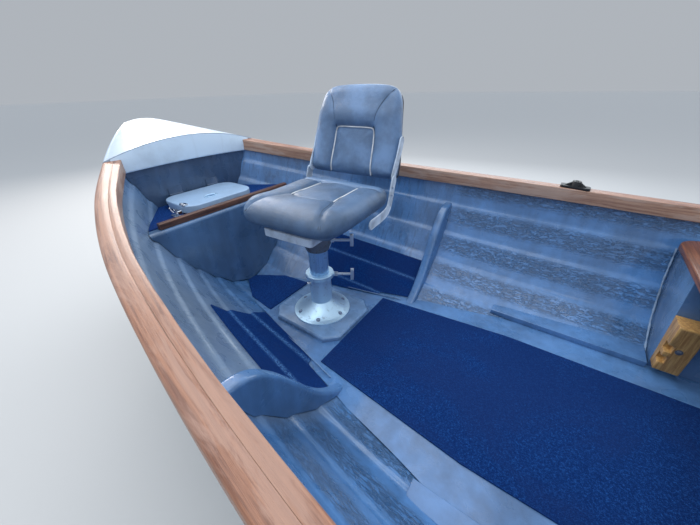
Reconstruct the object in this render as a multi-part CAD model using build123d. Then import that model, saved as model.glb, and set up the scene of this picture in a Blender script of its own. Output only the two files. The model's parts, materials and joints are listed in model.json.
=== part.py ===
from build123d import *
import bisect
import math
import os

os.makedirs("parts", exist_ok=True)

# A clinker-pattern fibreglass rowing boat, standing on its keel and two bilge runners.
# Millimetres: +X to the bow, +Y to port, +Z up.

# Hull moulding
WALL = 8.0             # laminate thickness
STRAKES = 7            # moulded strakes on each side
LAP = 8.0              # how far a strake's lower edge stands out from the one below
LAP_RUN = 12.0         # half the width over which the inside softens that step
FIT = 0.3              # bonding gap between curved faces
BOW_APEX = 1.5         # half-width that the cavity keeps at its narrowest
CAVITY_RISE = 95.0     # how far the trimming cavity reaches above the sheer

# Stations of the hull, from the stern to the bow. Each lies in the plane through its keel point
# and its sheer point. Columns: keel x, keel z, sheer x, sheer half-breadth, sheer z, and the
# fullness of the floor and of the topside in the section's curve.
KEEL_X, KEEL_Z, SHEER_X, SHEER_Y, SHEER_Z, FLOOR_FULL, SIDE_FULL = range(7)
STATIONS = [
    (-2276, 85, -2351, 585, 592, 3.0, 1.50),
    (-1640, 56, -1670, 684, 562, 3.2, 1.50),
    (-876, 42, -876, 738, 542, 3.4, 1.50),
    (-76, 40, -56, 742, 536, 3.4, 1.50),
    (624, 41, 664, 682, 560, 3.2, 1.50),
    (1154, 45, 1264, 580, 591, 2.1, 1.50),
    (1504, 60, 1644, 463, 632, 1.85, 1.45),
    (1764, 96, 1961, 311, 683, 1.7, 1.40),
    (1924, 145, 2194, 170, 735, 1.5, 1.30),
    (2034, 205, 2334, 58, 775, 1.4, 1.20),
]
LIP_STATION = 7        # the foredeck starts at this station's sheer point
BETWEEN = 2            # spans that the lofts lay between two stations

# Stem, transom and keels
NOSE = 42.0            # how far the stem stands ahead of the last station
NOSE_SHARE = 0.22      # the stem's leading width as a share of the last section
TRANSOM = 25.0
KEEL_WIDTH = 34.0
KEEL_AFT = -2120.0
KEEL_FORE = 1780.0
KEEL_TOE = 1180.0      # the keel's underside lifts from the ground ahead of here
RUNNER_Y = 300.0
RUNNER_WIDTH = 24.0
RUNNER_AFT = -1350.0
RUNNER_FORE = 760.0
RUNNER_TAPER = 160.0

# Rails
RAIL_OUT = 26.0        # outer rail, measured square to the sheer
RAIL_IN = 22.0         # inner rail
RAIL_DEPTH = 50.0
RAIL_RISE = 12.0       # the rails' top above the laminate's edge

# Foredeck
DECK_SKIN = 6.0
DECK_CROWN = 56.0      # height of the camber at the lip
LIP_BOTTOM = 645.0
LIP_THICK = 12.0
DECK_TIP_X = 2372.0
DECK_TIP_HALF = 26.0
DECK_TIP_RISE = 8.0

# Sole, its carpets and the locker in the bow
SOLE_TOP = 100.0
SOLE_THICK = 10.0
PILE = 4.0             # carpet thickness
LOCKER_FACE = 1709.0
LOCKER_TOP = 476.0
LOCKER_WALL = 8.0
LOCKER_ROUND = 14.0
BULKHEAD_THICK = 12.0
BATTEN = 24.0
BATTEN_HALF = 318.0
HATCH_X = 1856.5       # centre of the locker's hatch
HATCH_Y = 24.0
HATCH_LONG = 176.0     # opening along X
HATCH_WIDE = 290.0     # opening along Y
HATCH_ROUND = 40.0
COAMING = 8.0
COAMING_RISE = 26.0
LID_OVER = 12.0        # how far the lid laps past the coaming
LID_THICK = 14.0
LID_SKIRT = 22.0
HINGE_R = 4.0
HINGE_LONG = 60.0
LID_HINGE_SPREAD = 90.0
BOW_CARPET_AFT = 1439.0
BOW_CARPET_HALF_FORE = 88.0
BOW_CARPET_HALF_AFT = 120.0
MAIN_CARPET_FORE = 1079.0
MAIN_CARPET_AFT = -1690.0
CARPET_HALF_FORE = 216.0
CARPET_HALF_AFT = 268.0
CARPET_WIDENS = 500.0
SIDE_CARPET_AFT = 990.0
SIDE_CARPET_FORE = 1442.0
SIDE_CARPET_TOP = 258.0
SIDE_STRIP_FORE = 662.0
SIDE_STRIP_AFT = 175.0
SIDE_STRIP_Y = 372.0
SIDE_STRIP_HIGH = 22.0

# Old thwart supports, the mid thwart and the stern seat
RIB_X = 970.0
RIB_THICK = 36.0
RIB_ROUND = 10.0
# Its inner edge, from the foot up: y, and height above the sole
RIB_EDGE = [(250, 0), (387, 138), (488, 296), (528, 336), (590, 352)]
POD_FORE = 169.0
POD_LONG = 300.0
POD_Y = 408.0
POD_LEAN = 30.0        # the pod's face leans outboard by this at its top
THWART_TOP = 446.0
THWART_THICK = 24.0
THWART_OVER = 16.0
THWART_GAP = 14.0      # left at each end, short of the hull
BLOCK_LONG = 62.0
BLOCK_THICK = 46.0
BLOCK_HIGH = 170.0
BLOCK_NOTCH = 16.0
BLOCK_FOOT = 26.0
STERN_FACE = -1760.0
STERN_TOP = 392.0
STERN_BOARD = 18.0

# Transom boards and corner knees
PAD_WIDE = 320.0
PAD_HIGH = 170.0
PAD_THICK = 20.0
PAD_TOP_DROP = 18.0
KNEE_LONG = 210.0
KNEE_ARM = 36.0
KNEE_THICK = 24.0

# Rowlock sockets: x of each pair
ROWLOCK_X = [524.0, -430.0]
ROWLOCK_LONG = 98.0
ROWLOCK_WIDE = 40.0
ROWLOCK_HIGH = 26.0
ROWLOCK_BORE = 6.5
ROWLOCK_BOSS = 15.0
EYE_THICK = 10.0
EYE_R = 20.0
EYE_BORE = 8.0
EYE_Z = 470.0

# Pedestal: its axis stands at PED_X on the centre line
PED_X = 1249.0
PAD_X = 330.0          # moulded pad on the sole
PAD_Y = 285.0
PAD_CORNER = 46.0
PAD_RISE = 20.0
FLANGE_R = 114.5
FLANGE_THICK = 5.0
BELL_HIGH = 46.0
TUBE_R = 43.0
POST_R = 36.5
POST_WALL = 3.5
POST_FIT = 0.4
COLLAR_R = 55.0
COLLAR_THICK = 20.0
COLLAR_TOP = 177.0     # above the pad
CLAMP_Z = 168.0
CLAMP_LUG_R = 9.0
CLAMP_LUG_OUT = 4.0    # beyond the collar
FLANGE_HOLES = 6
FLANGE_PCD = 188.0
FLANGE_HOLE_R = 4.5
POST_FOOT = 45.0       # above the pad
FLUTES = 14
FLUTE_R = 2.6
HOUSING_LOW = 279.0
HOUSING_TOP = 336.0
HOUSING_R = 50.0
HOUSING_NECK = 40.0
KNOB_ROD = 5.0
KNOB_REACH = 128.0     # axis of the pedestal to the T bar
KNOB_BAR = 48.0
KNOB_TURN = 212.0      # degrees from +X
SWIVEL_GAP = 0.4

# Seat: it faces port, turned a little to the stern
SEAT_TURN = 4.0
SPIDER_R = 72.0
HUB_R = 34.0
SPIDER_THICK = 6.0
HUB_RISE = 27.0        # swivel plate to the pan's underside
PAN_X = 212.0
PAN_Y = 300.0
PAN_HIGH = 30.0
PAN_SHEET = 4.0
BOARD_THICK = 12.0
BOARD_INSET = 4.0
BOARD_SHORT = 30.0     # the board stops this far short of the cushion's front
SEAT_WIDE = 386.0
SEAT_FRONT = 188.0     # ahead of the pedestal's axis
SEAT_BACK = 206.0      # behind it
CUSHION_THICK = 84.0
CUSHION_ROUND = 30.0
BACK_TOP_WIDE = 300.0
BACK_HIGH = 318.0
BACK_THICK = 62.0
BACK_SHELL = 10.0
BACK_LEAN = 16.0       # degrees
ARM_WIDE = 30.0
ARM_SHEET = 5.0
ARM_GAP = 1.0
ARM_FOOT = 112.0       # the brackets start this far behind the pedestal's axis
ARM_TALL = 150.0
PIVOT_Y = -242.0       # behind the pedestal's axis, in the seat's own frame
PIVOT_R = 5.0
BACK_FRONT = 12.0      # the back's face stands this far ahead of the pivot
FOLD_CLEAR = 5.5       # between the folded back's face and the cushion
BACK_CLEAR = 6.0       # back cushion above the seat cushion

PAD_TOP = SOLE_TOP + PAD_RISE


# Hull sections

def fair(rows, spans):
    """Rows laid evenly between the stations on cubic arcs, whose slopes come from the rows beside them."""
    def slope(j, column):
        a = rows[max(j - 1, 0)]
        b = rows[min(j + 1, len(rows) - 1)]
        return (b[column] - a[column]) / (b[SHEER_X] - a[SHEER_X])

    faired = []
    for j, (a, b) in enumerate(zip(rows, rows[1:])):
        run = b[SHEER_X] - a[SHEER_X]
        for k in range(spans):
            t = k / spans
            row = []
            for column in range(len(a)):
                rise = (2 * t ** 3 - 3 * t ** 2 + 1) * a[column] + (3 * t ** 2 - 2 * t ** 3) * b[column]
                rise += (t ** 3 - 2 * t ** 2 + t) * run * slope(j, column)
                rise += (t ** 3 - t ** 2) * run * slope(j + 1, column)
                row.append(rise)
            faired.append(tuple(row))
    faired.append(tuple(rows[-1]))
    return faired


SECTIONS = fair(STATIONS, BETWEEN)
LIP_SECTION = LIP_STATION * BETWEEN


def section_curve(station):
    """Points (y, v) of a section, v along the line from the keel point to the sheer point.

    The curve is (y / breadth)^floor + (1 - v / depth)^side = 1.
    """
    breadth = station[SHEER_Y]
    depth = math.dist((station[KEEL_X], station[KEEL_Z]), (station[SHEER_X], station[SHEER_Z]))
    count = 240
    points = []
    for i in range(count + 1):
        turn = math.pi / 2 * i / count
        y = breadth * math.sin(turn) ** (2 / station[FLOOR_FULL])
        v = depth * (1 - max(math.cos(turn), 0.0) ** (2 / station[SIDE_FULL]))
        points.append((y, v))
    points[-1] = (breadth, depth)
    return points


class Girth:
    """A section measured along its own curve, from the keel to the sheer."""

    def __init__(self, station):
        self.points = section_curve(station)
        self.along = [0.0]
        for a, b in zip(self.points, self.points[1:]):
            self.along.append(self.along[-1] + math.dist(a, b))
        self.length = self.along[-1]

    def at(self, distance, outward):
        """The point at a distance up the curve, moved outward, square to the curve."""
        distance = min(max(distance, 0.0), self.length)
        j = min(max(bisect.bisect_left(self.along, distance), 1), len(self.along) - 1)
        share = (distance - self.along[j - 1]) / (self.along[j] - self.along[j - 1])
        (ya, va), (yb, vb) = self.points[j - 1], self.points[j]
        low = bisect.bisect_left(self.along, max(distance - LAP_RUN, 0.0))
        high = bisect.bisect_left(self.along, min(distance + LAP_RUN, self.length))
        high = min(high, len(self.points) - 1)
        dy = self.points[high][0] - self.points[low][0]
        dv = self.points[high][1] - self.points[low][1]
        size = math.hypot(dy, dv)
        return (ya + share * (yb - ya) + outward * dv / size, va + share * (vb - va) - outward * dy / size)


def outer_line(station, grow=0.0):
    """Outside of one side: each strake's lower edge laps over the strake below."""
    girth = Girth(station)
    lap = 0.02 if station is SECTIONS[-1] else LAP
    line = [(0.0, -grow)]
    for i in range(1, STRAKES):
        s = girth.length * i / STRAKES
        line += [girth.at(s, grow), girth.at(s, grow + lap)]
    top = girth.points[-1]
    line.append((top[0] + grow, top[1]))
    return line


def inner_line(station, inset=0.0):
    """Inside of one side: the same laps, softened by the laminate."""
    girth = Girth(station)
    lap = 0.0 if station is SECTIONS[-1] else 0.8 * LAP
    depth = WALL + inset
    steps = 200
    walk = (girth.at(girth.length * i / steps, -depth) for i in range(steps))
    apex = next(v for y, v in walk if y > BOW_APEX)
    line = [(0.0, max(depth, apex))]
    for i in range(1, STRAKES):
        s = girth.length * i / STRAKES
        line += [girth.at(s - LAP_RUN, -depth), girth.at(s + LAP_RUN, lap - depth)]
    top = girth.points[-1]
    line.append((top[0] - depth, top[1]))
    for j in range(1, len(line) - 1):
        line[j] = (max(line[j][0], BOW_APEX * j), max(line[j][1], line[j - 1][1] + BOW_APEX / 3))
    return line


def in_space(station, y, v):
    """The point (y, v) of a section's plane, in the boat's frame."""
    depth = math.dist((station[KEEL_X], station[KEEL_Z]), (station[SHEER_X], station[SHEER_Z]))
    x = station[KEEL_X] + (station[SHEER_X] - station[KEEL_X]) * v / depth
    z = station[KEEL_Z] + (station[SHEER_Z] - station[KEEL_Z]) * v / depth
    return Vector(x, y, z)


def section_wire(station, outline):
    return Wire.make_polygon([in_space(station, y, v) for y, v in outline], close=True)


def other_side(line):
    """A side's points below the sheer, mirrored, from the sheer down; the keel point stays single."""
    return [(-y, v) for y, v in line[:0:-1]]


def hull_ring(grow=0.0):
    """The laminate as one solid, with both faces grown outwards by a gap."""
    wires = []
    for station in SECTIONS:
        outer = outer_line(station, grow)
        inner = inner_line(station, grow)
        outer[-1] = (outer[-1][0], outer[-1][1] + grow)
        inner[-1] = (inner[-1][0], inner[-1][1] + grow)
        outline = other_side(outer) + outer + inner[::-1] + [(-y, v) for y, v in inner[1:]]
        wires.append(section_wire(station, outline))
    return Solid.make_loft(wires, ruled=True)


def hull_outside(gap):
    """Everything inside the outer face, grown by a gap: it cuts what is bonded on from outside."""
    wires = []
    for station in SECTIONS:
        outer = outer_line(station, gap)
        wires.append(section_wire(station, other_side(outer) + outer))
    return Solid.make_loft(wires, ruled=True)


def hull_cavity(inset):
    """Everything inside the inner face, drawn in by an inset: it trims what is fitted inside."""
    wires = []
    for station in SECTIONS:
        inner = inner_line(station, inset)
        inner.append((inner[-1][0], inner[-1][1] + CAVITY_RISE))
        wires.append(section_wire(station, other_side(inner) + inner))
    return Solid.make_loft(wires, ruled=True)


def block(x0, x1, y0, y1, z0, z1):
    """A box between two corners."""
    return Pos((x0 + x1) / 2, (y0 + y1) / 2, (z0 + z1) / 2) * Box(x1 - x0, y1 - y0, z1 - z0)


def prism_y(points, y0, y1):
    """An (x, z) outline made solid between two y."""
    face = Plane.XZ.offset(-y0) * make_face(Polyline(points, close=True))
    return extrude(face, amount=y1 - y0, dir=(0, 1, 0))


def prism_x(points, x0, x1):
    """A (y, z) outline made solid between two x."""
    face = Plane.YZ.offset(x0) * make_face(Polyline(points, close=True))
    return extrude(face, amount=x1 - x0, dir=(1, 0, 0))


def mirror_y(shape):
    return mirror(shape, about=Plane.XZ)


nodes = {}


def keep(name, shape):
    """File a sub-part under its node name."""
    nodes[name] = shape


INSIDE = hull_cavity(FIT)
OUTSIDE = hull_outside(FIT)
LAMINATE = hull_ring(FIT)


# Shell, stem and transom

def shell():
    keep("hull_shell", hull_ring())


def stem():
    """A solid nose ahead of the last section, closed under the foredeck."""
    station = SECTIONS[-1]
    base = in_space(station, 0, 0)
    girth = math.dist((station[KEEL_X], station[KEEL_Z]), (station[SHEER_X], station[SHEER_Z]))
    top = in_space(station, 0, girth)
    rise = (top - base).normalized()
    ahead = Vector(rise.Z, 0, -rise.X)
    outer = outer_line(station)
    outline = other_side(outer) + outer
    aft = [in_space(station, y, v) for y, v in outline]
    fore = [in_space(station, y * NOSE_SHARE, v) + ahead * NOSE for y, v in outline]
    ends = [Wire.make_polygon(aft, close=True), Wire.make_polygon(fore, close=True)]
    nose = Solid.make_loft(ends, ruled=True)
    keep("stem", nose - nodes["foredeck"])


def transom_plane():
    """Square to the first section, facing aft; local x is port, local y runs up the transom."""
    station = SECTIONS[0]
    low = Vector(station[KEEL_X], 0, station[KEEL_Z])
    high = Vector(station[SHEER_X], 0, station[SHEER_Z])
    rise = (high - low).normalized()
    return Plane(origin=low, x_dir=(0, -1, 0), z_dir=Vector(-rise.Z, 0, rise.X))


TRANSOM_DEPTH = math.dist(SECTIONS[0][0:2], (SECTIONS[0][SHEER_X], SECTIONS[0][SHEER_Z]))


def on_transom(x0, x1, y0, y1, z0, z1):
    """A box in the transom's plane: across, up the transom, and aft of the shell's end."""
    return transom_plane() * block(x0, x1, y0, y1, z0, z1)


def transom():
    outer = outer_line(SECTIONS[0])
    wire = section_wire(SECTIONS[0], other_side(outer) + outer)
    keep("transom", extrude(Face(wire), amount=TRANSOM, dir=transom_plane().z_dir))
    half = PAD_WIDE / 2
    top = TRANSOM_DEPTH - PAD_TOP_DROP
    boards = (("transom_board_aft", TRANSOM, TRANSOM + PAD_THICK), ("transom_board_fore", -PAD_THICK, 0))
    for name, z0, z1 in boards:
        board = on_transom(-half, half, top - PAD_HIGH, top, z0, z1)
        keep(name, fillet(board.edges().filter_by(Axis((0, 0, 0), transom_plane().z_dir)), 24))


# Keel and bilge runners

def keels():
    ground = [(KEEL_AFT, 0), (KEEL_TOE, 0)]
    rise = [(1500, 14), (KEEL_FORE, 78), (KEEL_FORE, 190), (KEEL_AFT, 190)]
    bar = prism_y(ground + rise, -KEEL_WIDTH / 2, KEEL_WIDTH / 2)
    keep("keel", bar - OUTSIDE)
    points = [
        (RUNNER_AFT, 0),
        (RUNNER_FORE, 0),
        (RUNNER_FORE + RUNNER_TAPER, 44),
        (RUNNER_FORE + RUNNER_TAPER, 120),
        (RUNNER_AFT - RUNNER_TAPER, 120),
        (RUNNER_AFT - RUNNER_TAPER, 44),
    ]
    bar = prism_y(points, RUNNER_Y - RUNNER_WIDTH / 2, RUNNER_Y + RUNNER_WIDTH / 2) - OUTSIDE
    keep("bilge_runner_port", bar)
    keep("bilge_runner_starboard", mirror_y(bar))


# Rails

def sheer_slant(i):
    """Length along Y of one millimetre square to the sheer, at a station."""
    a = SECTIONS[max(i - 1, 0)]
    b = SECTIONS[min(i + 1, len(SECTIONS) - 1)]
    dx = b[SHEER_X] - a[SHEER_X]
    return math.hypot(dx, b[SHEER_Y] - a[SHEER_Y]) / dx


def rail_strip(inner, outer, last):
    """A square strip along the sheer between two offsets from the laminate's outer face."""
    wires = []
    for i, station in enumerate(SECTIONS[: last + 1]):
        slant = sheer_slant(i)
        y0 = station[SHEER_Y] + inner * slant
        y1 = station[SHEER_Y] + outer * slant
        z1 = station[SHEER_Z] + RAIL_RISE
        z0 = z1 - RAIL_DEPTH
        corners = [(y0, z0), (y1, z0), (y1, z1), (y0, z1)]
        wires.append(Wire.make_polygon([Vector(station[SHEER_X], y, z) for y, z in corners], close=True))
    return Solid.make_loft(wires, ruled=True)


LIP_X = SECTIONS[LIP_SECTION][SHEER_X]


def rails():
    ahead = block(LIP_X - 0.2, LIP_X + 600, -900, 900, 300, 1000)
    behind = transom_plane() * block(-900, 900, -300, 900, -FIT, 400)
    outer = rail_strip(-WALL + 0.2, RAIL_OUT, LIP_SECTION + 1) - LAMINATE - ahead - behind
    inner = rail_strip(-WALL - RAIL_IN, -WALL - 0.1, LIP_SECTION + 1) - LAMINATE - ahead - behind
    for name, rail in (("outer_rail", outer), ("inner_rail", inner)):
        rail = max(rail.solids(), key=lambda solid: solid.volume)
        keep(name + "_port", rail)
        keep(name + "_starboard", mirror_y(rail))


# Foredeck

def deck_section(x, half, edge_z, crown, drop):
    """Arched skin with a thick turned-down edge on both sides."""
    lid = half - RAIL_OUT
    under = edge_z - DECK_SKIN
    low = edge_z - drop
    edges = [
        Edge.make_line((x, -half, low), (x, -half, edge_z)),
        Edge.make_three_point_arc((x, -half, edge_z), (x, 0, edge_z + crown), (x, half, edge_z)),
        Edge.make_line((x, half, edge_z), (x, half, low)),
        Edge.make_line((x, half, low), (x, lid, low)),
        Edge.make_line((x, lid, low), (x, lid, under)),
        Edge.make_three_point_arc((x, lid, under), (x, 0, under + crown), (x, -lid, under)),
        Edge.make_line((x, -lid, under), (x, -lid, low)),
        Edge.make_line((x, -lid, low), (x, -half, low)),
    ]
    return Wire(edges)


def foredeck():
    wires = []
    for i in range(LIP_SECTION, len(SECTIONS)):
        station = SECTIONS[i]
        half = station[SHEER_Y] + RAIL_OUT * min(sheer_slant(i), 1.35)
        share = station[SHEER_Y] / SECTIONS[LIP_SECTION][SHEER_Y]
        edge_z = station[SHEER_Z] + RAIL_RISE
        wires.append(deck_section(station[SHEER_X], half, edge_z, DECK_CROWN * share ** 0.8, RAIL_DEPTH))
    tip_z = SECTIONS[-1][SHEER_Z] + RAIL_RISE + DECK_TIP_RISE
    wires.append(deck_section(DECK_TIP_X, DECK_TIP_HALF + RAIL_OUT * 0.2, tip_z, 4, RAIL_DEPTH))
    return wires


def deck():
    station = SECTIONS[LIP_SECTION]
    skin = Solid.make_loft(foredeck(), ruled=True) - LAMINATE
    edge_z = station[SHEER_Z] + RAIL_RISE
    half = station[SHEER_Y] + RAIL_OUT * (sheer_slant(LIP_SECTION) - 1)
    under = edge_z - DECK_SKIN + 1.5
    crown = under + DECK_CROWN
    outline = [
        Edge.make_line((LIP_X, -half, LIP_BOTTOM), (LIP_X, half, LIP_BOTTOM)),
        Edge.make_line((LIP_X, half, LIP_BOTTOM), (LIP_X, half, under)),
        Edge.make_three_point_arc((LIP_X, half, under), (LIP_X, 0, crown), (LIP_X, -half, under)),
        Edge.make_line((LIP_X, -half, under), (LIP_X, -half, LIP_BOTTOM)),
    ]
    face = Face(Wire(outline))
    lip = extrude(face, amount=LIP_THICK, dir=(1, 0, 0)) & INSIDE
    keep("foredeck", skin + lip)


# Bow locker, its hatch and the bulkhead under the deck

def rounded_frame(long, wide, radius, z0, z1):
    """A rounded rectangular prism centred on the hatch."""
    plate = Pos(HATCH_X, HATCH_Y, (z0 + z1) / 2) * Box(long, wide, z1 - z0)
    return fillet(plate.edges().filter_by(Axis.Z), radius)


def bow_locker():
    aft = LIP_X + LIP_THICK + FIT
    fore = aft - FIT
    outer = block(LOCKER_FACE, fore, -700, 700, 60, LOCKER_TOP)
    outer = fillet(outer.edges().filter_by(Axis.Y).group_by(Axis.X)[0].group_by(Axis.Z)[-1], LOCKER_ROUND)
    hollow = block(LOCKER_FACE + LOCKER_WALL, fore, -800, 800, 0, LOCKER_TOP - LOCKER_WALL)
    mouth = rounded_frame(HATCH_LONG, HATCH_WIDE, HATCH_ROUND, LOCKER_TOP - 50, LOCKER_TOP + 50)
    keep("bow_locker", (outer - hollow - mouth) & INSIDE)
    panel = block(aft, aft + BULKHEAD_THICK, -700, 700, 60, SECTIONS[LIP_SECTION][SHEER_Z] - 6) & INSIDE
    keep("bow_bulkhead", panel)

    coaming_top = LOCKER_TOP + COAMING_RISE
    ring = rounded_frame(HATCH_LONG + 2 * COAMING, HATCH_WIDE + 2 * COAMING, HATCH_ROUND + COAMING,
                         LOCKER_TOP, coaming_top)
    opening = rounded_frame(HATCH_LONG, HATCH_WIDE, HATCH_ROUND, LOCKER_TOP - 1, coaming_top + 1)
    keep("hatch_coaming", ring - opening)

    rug = block(LOCKER_FACE + LOCKER_ROUND + BATTEN, fore, -700, 700, LOCKER_TOP, LOCKER_TOP + PILE)
    gap = 1.0
    hole = rounded_frame(HATCH_LONG + 2 * COAMING + 2 * gap, HATCH_WIDE + 2 * COAMING + 2 * gap,
                         HATCH_ROUND + COAMING + gap, LOCKER_TOP - 1, LOCKER_TOP + PILE + 1)
    keep("locker_carpet", (rug - hole) & INSIDE)

    x0 = LOCKER_FACE + LOCKER_ROUND - 2
    strip = block(x0, x0 + BATTEN - 1, -BATTEN_HALF, BATTEN_HALF, LOCKER_TOP, LOCKER_TOP + BATTEN)
    keep("locker_batten", fillet(strip.edges().filter_by(Axis.Y).group_by(Axis.Z)[-1], 5))

    hinge_x = aft - HINGE_R - FIT
    hinge_z = coaming_top + 0.5 + LID_THICK + 1
    for_hinge = Part()
    for side in (-1, 1):
        y = HATCH_Y + side * LID_HINGE_SPREAD
        knuckle = Pos(hinge_x, y, hinge_z) * Rot(90, 0, 0) * Cylinder(HINGE_R, HINGE_LONG)
        leaf = block(aft - FIT - 2, aft - FIT, y - HINGE_LONG / 2, y + HINGE_LONG / 2, hinge_z, hinge_z + 30)
        for_hinge += knuckle + leaf
    keep("lid_hinges", for_hinge)

    lid_long = HATCH_LONG + 2 * COAMING + 2 * LID_OVER
    lid_wide = HATCH_WIDE + 2 * COAMING + 2 * LID_OVER
    low = coaming_top + 0.5
    plate = rounded_frame(lid_long, lid_wide, HATCH_ROUND + COAMING + LID_OVER, low - LID_SKIRT + 6,
                          low + LID_THICK)
    plate = fillet(plate.edges().group_by(Axis.Z)[-1], 5)
    room = rounded_frame(HATCH_LONG + 2 * COAMING + 5, HATCH_WIDE + 2 * COAMING + 5,
                         HATCH_ROUND + COAMING + 2.5, low - LID_SKIRT, low)
    skirt_end = HATCH_X + HATCH_LONG / 2 - HATCH_ROUND
    no_skirt = block(skirt_end, HATCH_X + lid_long, -700, 700, low - LID_SKIRT, low)
    keep("locker_lid", plate - room - no_skirt)


def side_strips():
    """Battens along the foot of the hull's sides, ahead of the mid thwart."""
    z0 = SOLE_TOP + FIT
    bar = block(SIDE_STRIP_AFT, SIDE_STRIP_FORE, SIDE_STRIP_Y, 700, z0, z0 + SIDE_STRIP_HIGH) & INSIDE
    keep("side_strip_port", bar)
    keep("side_strip_starboard", mirror_y(bar))


# Sole and carpets

def sole():
    slab = block(STERN_FACE + LOCKER_WALL, LOCKER_FACE - FIT, -700, 700, SOLE_TOP - SOLE_THICK, SOLE_TOP)
    keep("sole", slab & INSIDE)
    corners = [(LOCKER_FACE - 4, BOW_CARPET_HALF_FORE), (BOW_CARPET_AFT, BOW_CARPET_HALF_AFT)]
    ring = corners + [(x, -y) for x, y in corners[::-1]]
    face = Plane.XY.offset(SOLE_TOP) * make_face(Polyline(ring, close=True))
    keep("bow_carpet", extrude(face, amount=PILE) & hull_cavity(FIT))
    outline = [
        (MAIN_CARPET_FORE, CARPET_HALF_FORE),
        (MAIN_CARPET_FORE - CARPET_WIDENS, CARPET_HALF_AFT),
        (MAIN_CARPET_AFT, CARPET_HALF_AFT),
    ]
    ring = outline + [(x, -y) for x, y in outline[::-1]]
    face = Plane.XY.offset(SOLE_TOP) * make_face(Polyline(ring, close=True))
    keep("main_carpet", extrude(face, amount=PILE))

    band = block(SIDE_CARPET_AFT, SIDE_CARPET_FORE, 0, 700, SOLE_TOP + PILE, SIDE_CARPET_TOP)
    side = (band & INSIDE) - hull_cavity(FIT + PILE)
    side = max(side.solids(), key=lambda solid: solid.volume)
    keep("side_carpet_port", side)
    keep("side_carpet_starboard", mirror_y(side))


# Ribs, mid thwart and stern seat

def ribs():
    edge = [(y, SOLE_TOP + FIT + rise) for y, rise in RIB_EDGE]
    behind = Polyline(edge[-1], (800, edge[-1][1]), (800, edge[0][1]), edge[0])
    face = Plane.YZ.offset(RIB_X - RIB_THICK / 2) * make_face(Spline(*edge) + behind)
    bar = extrude(face, amount=RIB_THICK)
    run = bar.faces().filter_by(GeomType.PLANE, reverse=True)[0]
    bar = fillet(run.edges().filter_by(lambda line: line.length > 100), RIB_ROUND) & INSIDE
    keep("rib_port", bar)
    keep("rib_starboard", mirror_y(bar))


def mid_thwart():
    under = THWART_TOP - THWART_THICK
    aft = POD_FORE - POD_LONG
    z0 = SOLE_TOP + FIT
    outline = [(POD_Y - 20, z0), (POD_Y + POD_LEAN, under), (800, under), (800, z0)]
    pod = prism_x(outline, aft, POD_FORE)
    lean = Vector(0, POD_LEAN + 20, under - z0)
    room = prism_x(
        [(POD_Y - 20 + LOCKER_WALL, z0 - 30), (POD_Y + POD_LEAN + LOCKER_WALL, under - LOCKER_WALL),
         (820, under - LOCKER_WALL), (820, z0 - 30)],
        aft + LOCKER_WALL, POD_FORE - LOCKER_WALL)
    pod = (pod - room) & INSIDE
    keep("thwart_pod_port", pod)
    keep("thwart_pod_starboard", mirror_y(pod))

    plank = block(aft - THWART_OVER, POD_FORE + THWART_OVER, -800, 800, under, THWART_TOP)
    keep("mid_thwart", plank & hull_cavity(THWART_GAP))

    face_y = POD_Y - 20 + (BLOCK_FOOT / lean.Z) * lean.Y
    z1 = z0 + BLOCK_FOOT
    foot = POD_FORE - BLOCK_LONG
    blk = block(foot, POD_FORE, face_y - BLOCK_THICK, face_y + 60, z1, z1 + BLOCK_HIGH)
    blk = fillet(blk.edges().group_by(Axis.Y)[0], 5)
    keepout = prism_x([(POD_Y - 20 - FIT, z0), (POD_Y + POD_LEAN - FIT, under), (900, under), (900, z0)],
                      foot - 10, POD_FORE + 10)
    for z in (z1 + 32, z1 + 76):
        blk -= block(POD_FORE - BLOCK_NOTCH, POD_FORE + 1, face_y - BLOCK_THICK - 1,
                     face_y - BLOCK_THICK + 26, z, z + 26)
    keep("thwart_block", mirror_y(blk - keepout))


def stern_seat():
    fore = STERN_FACE
    outer = block(-2500, fore, -700, 700, 60, STERN_TOP)
    outer = fillet(outer.edges().filter_by(Axis.Y).group_by(Axis.X)[-1].group_by(Axis.Z)[-1], LOCKER_ROUND)
    hollow = block(-2600, fore - LOCKER_WALL, -800, 800, 0, STERN_TOP - LOCKER_WALL)
    plane = transom_plane()
    behind = plane * block(-900, 900, -300, 900, 0, 400)
    keep("stern_seat", ((outer - hollow) & INSIDE) - behind)
    board = block(-2235, fore - 30, -430, 430, STERN_TOP, STERN_TOP + STERN_BOARD)
    board = fillet(board.edges().filter_by(Axis.Z), 40)
    keep("stern_seat_board", fillet(board.edges().group_by(Axis.Z)[-1], 4))


def knees():
    """Wooden corner knees between the rails and the transom."""
    station = SECTIONS[0]
    x0 = station[SHEER_X] + 2
    y1 = station[SHEER_Y] - WALL
    z0 = station[SHEER_Z] - 32
    points = [
        (x0 - 30, y1 + 40),
        (x0 + KNEE_LONG, y1 + 40),
        (x0 + KNEE_LONG, y1 - KNEE_ARM),
        (x0 + KNEE_ARM + 30, y1 - 0.62 * KNEE_LONG),
        (x0 + KNEE_ARM, y1 - KNEE_LONG),
        (x0 - 30, y1 - KNEE_LONG),
    ]
    face = Plane.XY.offset(z0) * make_face(Polyline(points, close=True))
    knee = extrude(face, amount=KNEE_THICK)
    trim = rail_strip(-WALL - RAIL_IN - FIT, 60, 2 * BETWEEN)
    behind = transom_plane() * block(-900, 900, -300, 900, -FIT, 400)
    knee = max(((knee & INSIDE) - trim - behind).solids(), key=lambda solid: solid.volume)
    keep("quarter_knee_port", knee)
    keep("quarter_knee_starboard", mirror_y(knee))


# Rowlock sockets and bow eye

def top_of(shape, x, y):
    """Height of a shape's upper face over one point."""
    needle = block(x - 0.5, x + 0.5, y - 2, y + 2, 400, 900)
    return (shape & needle).bounding_box().max.Z


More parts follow.
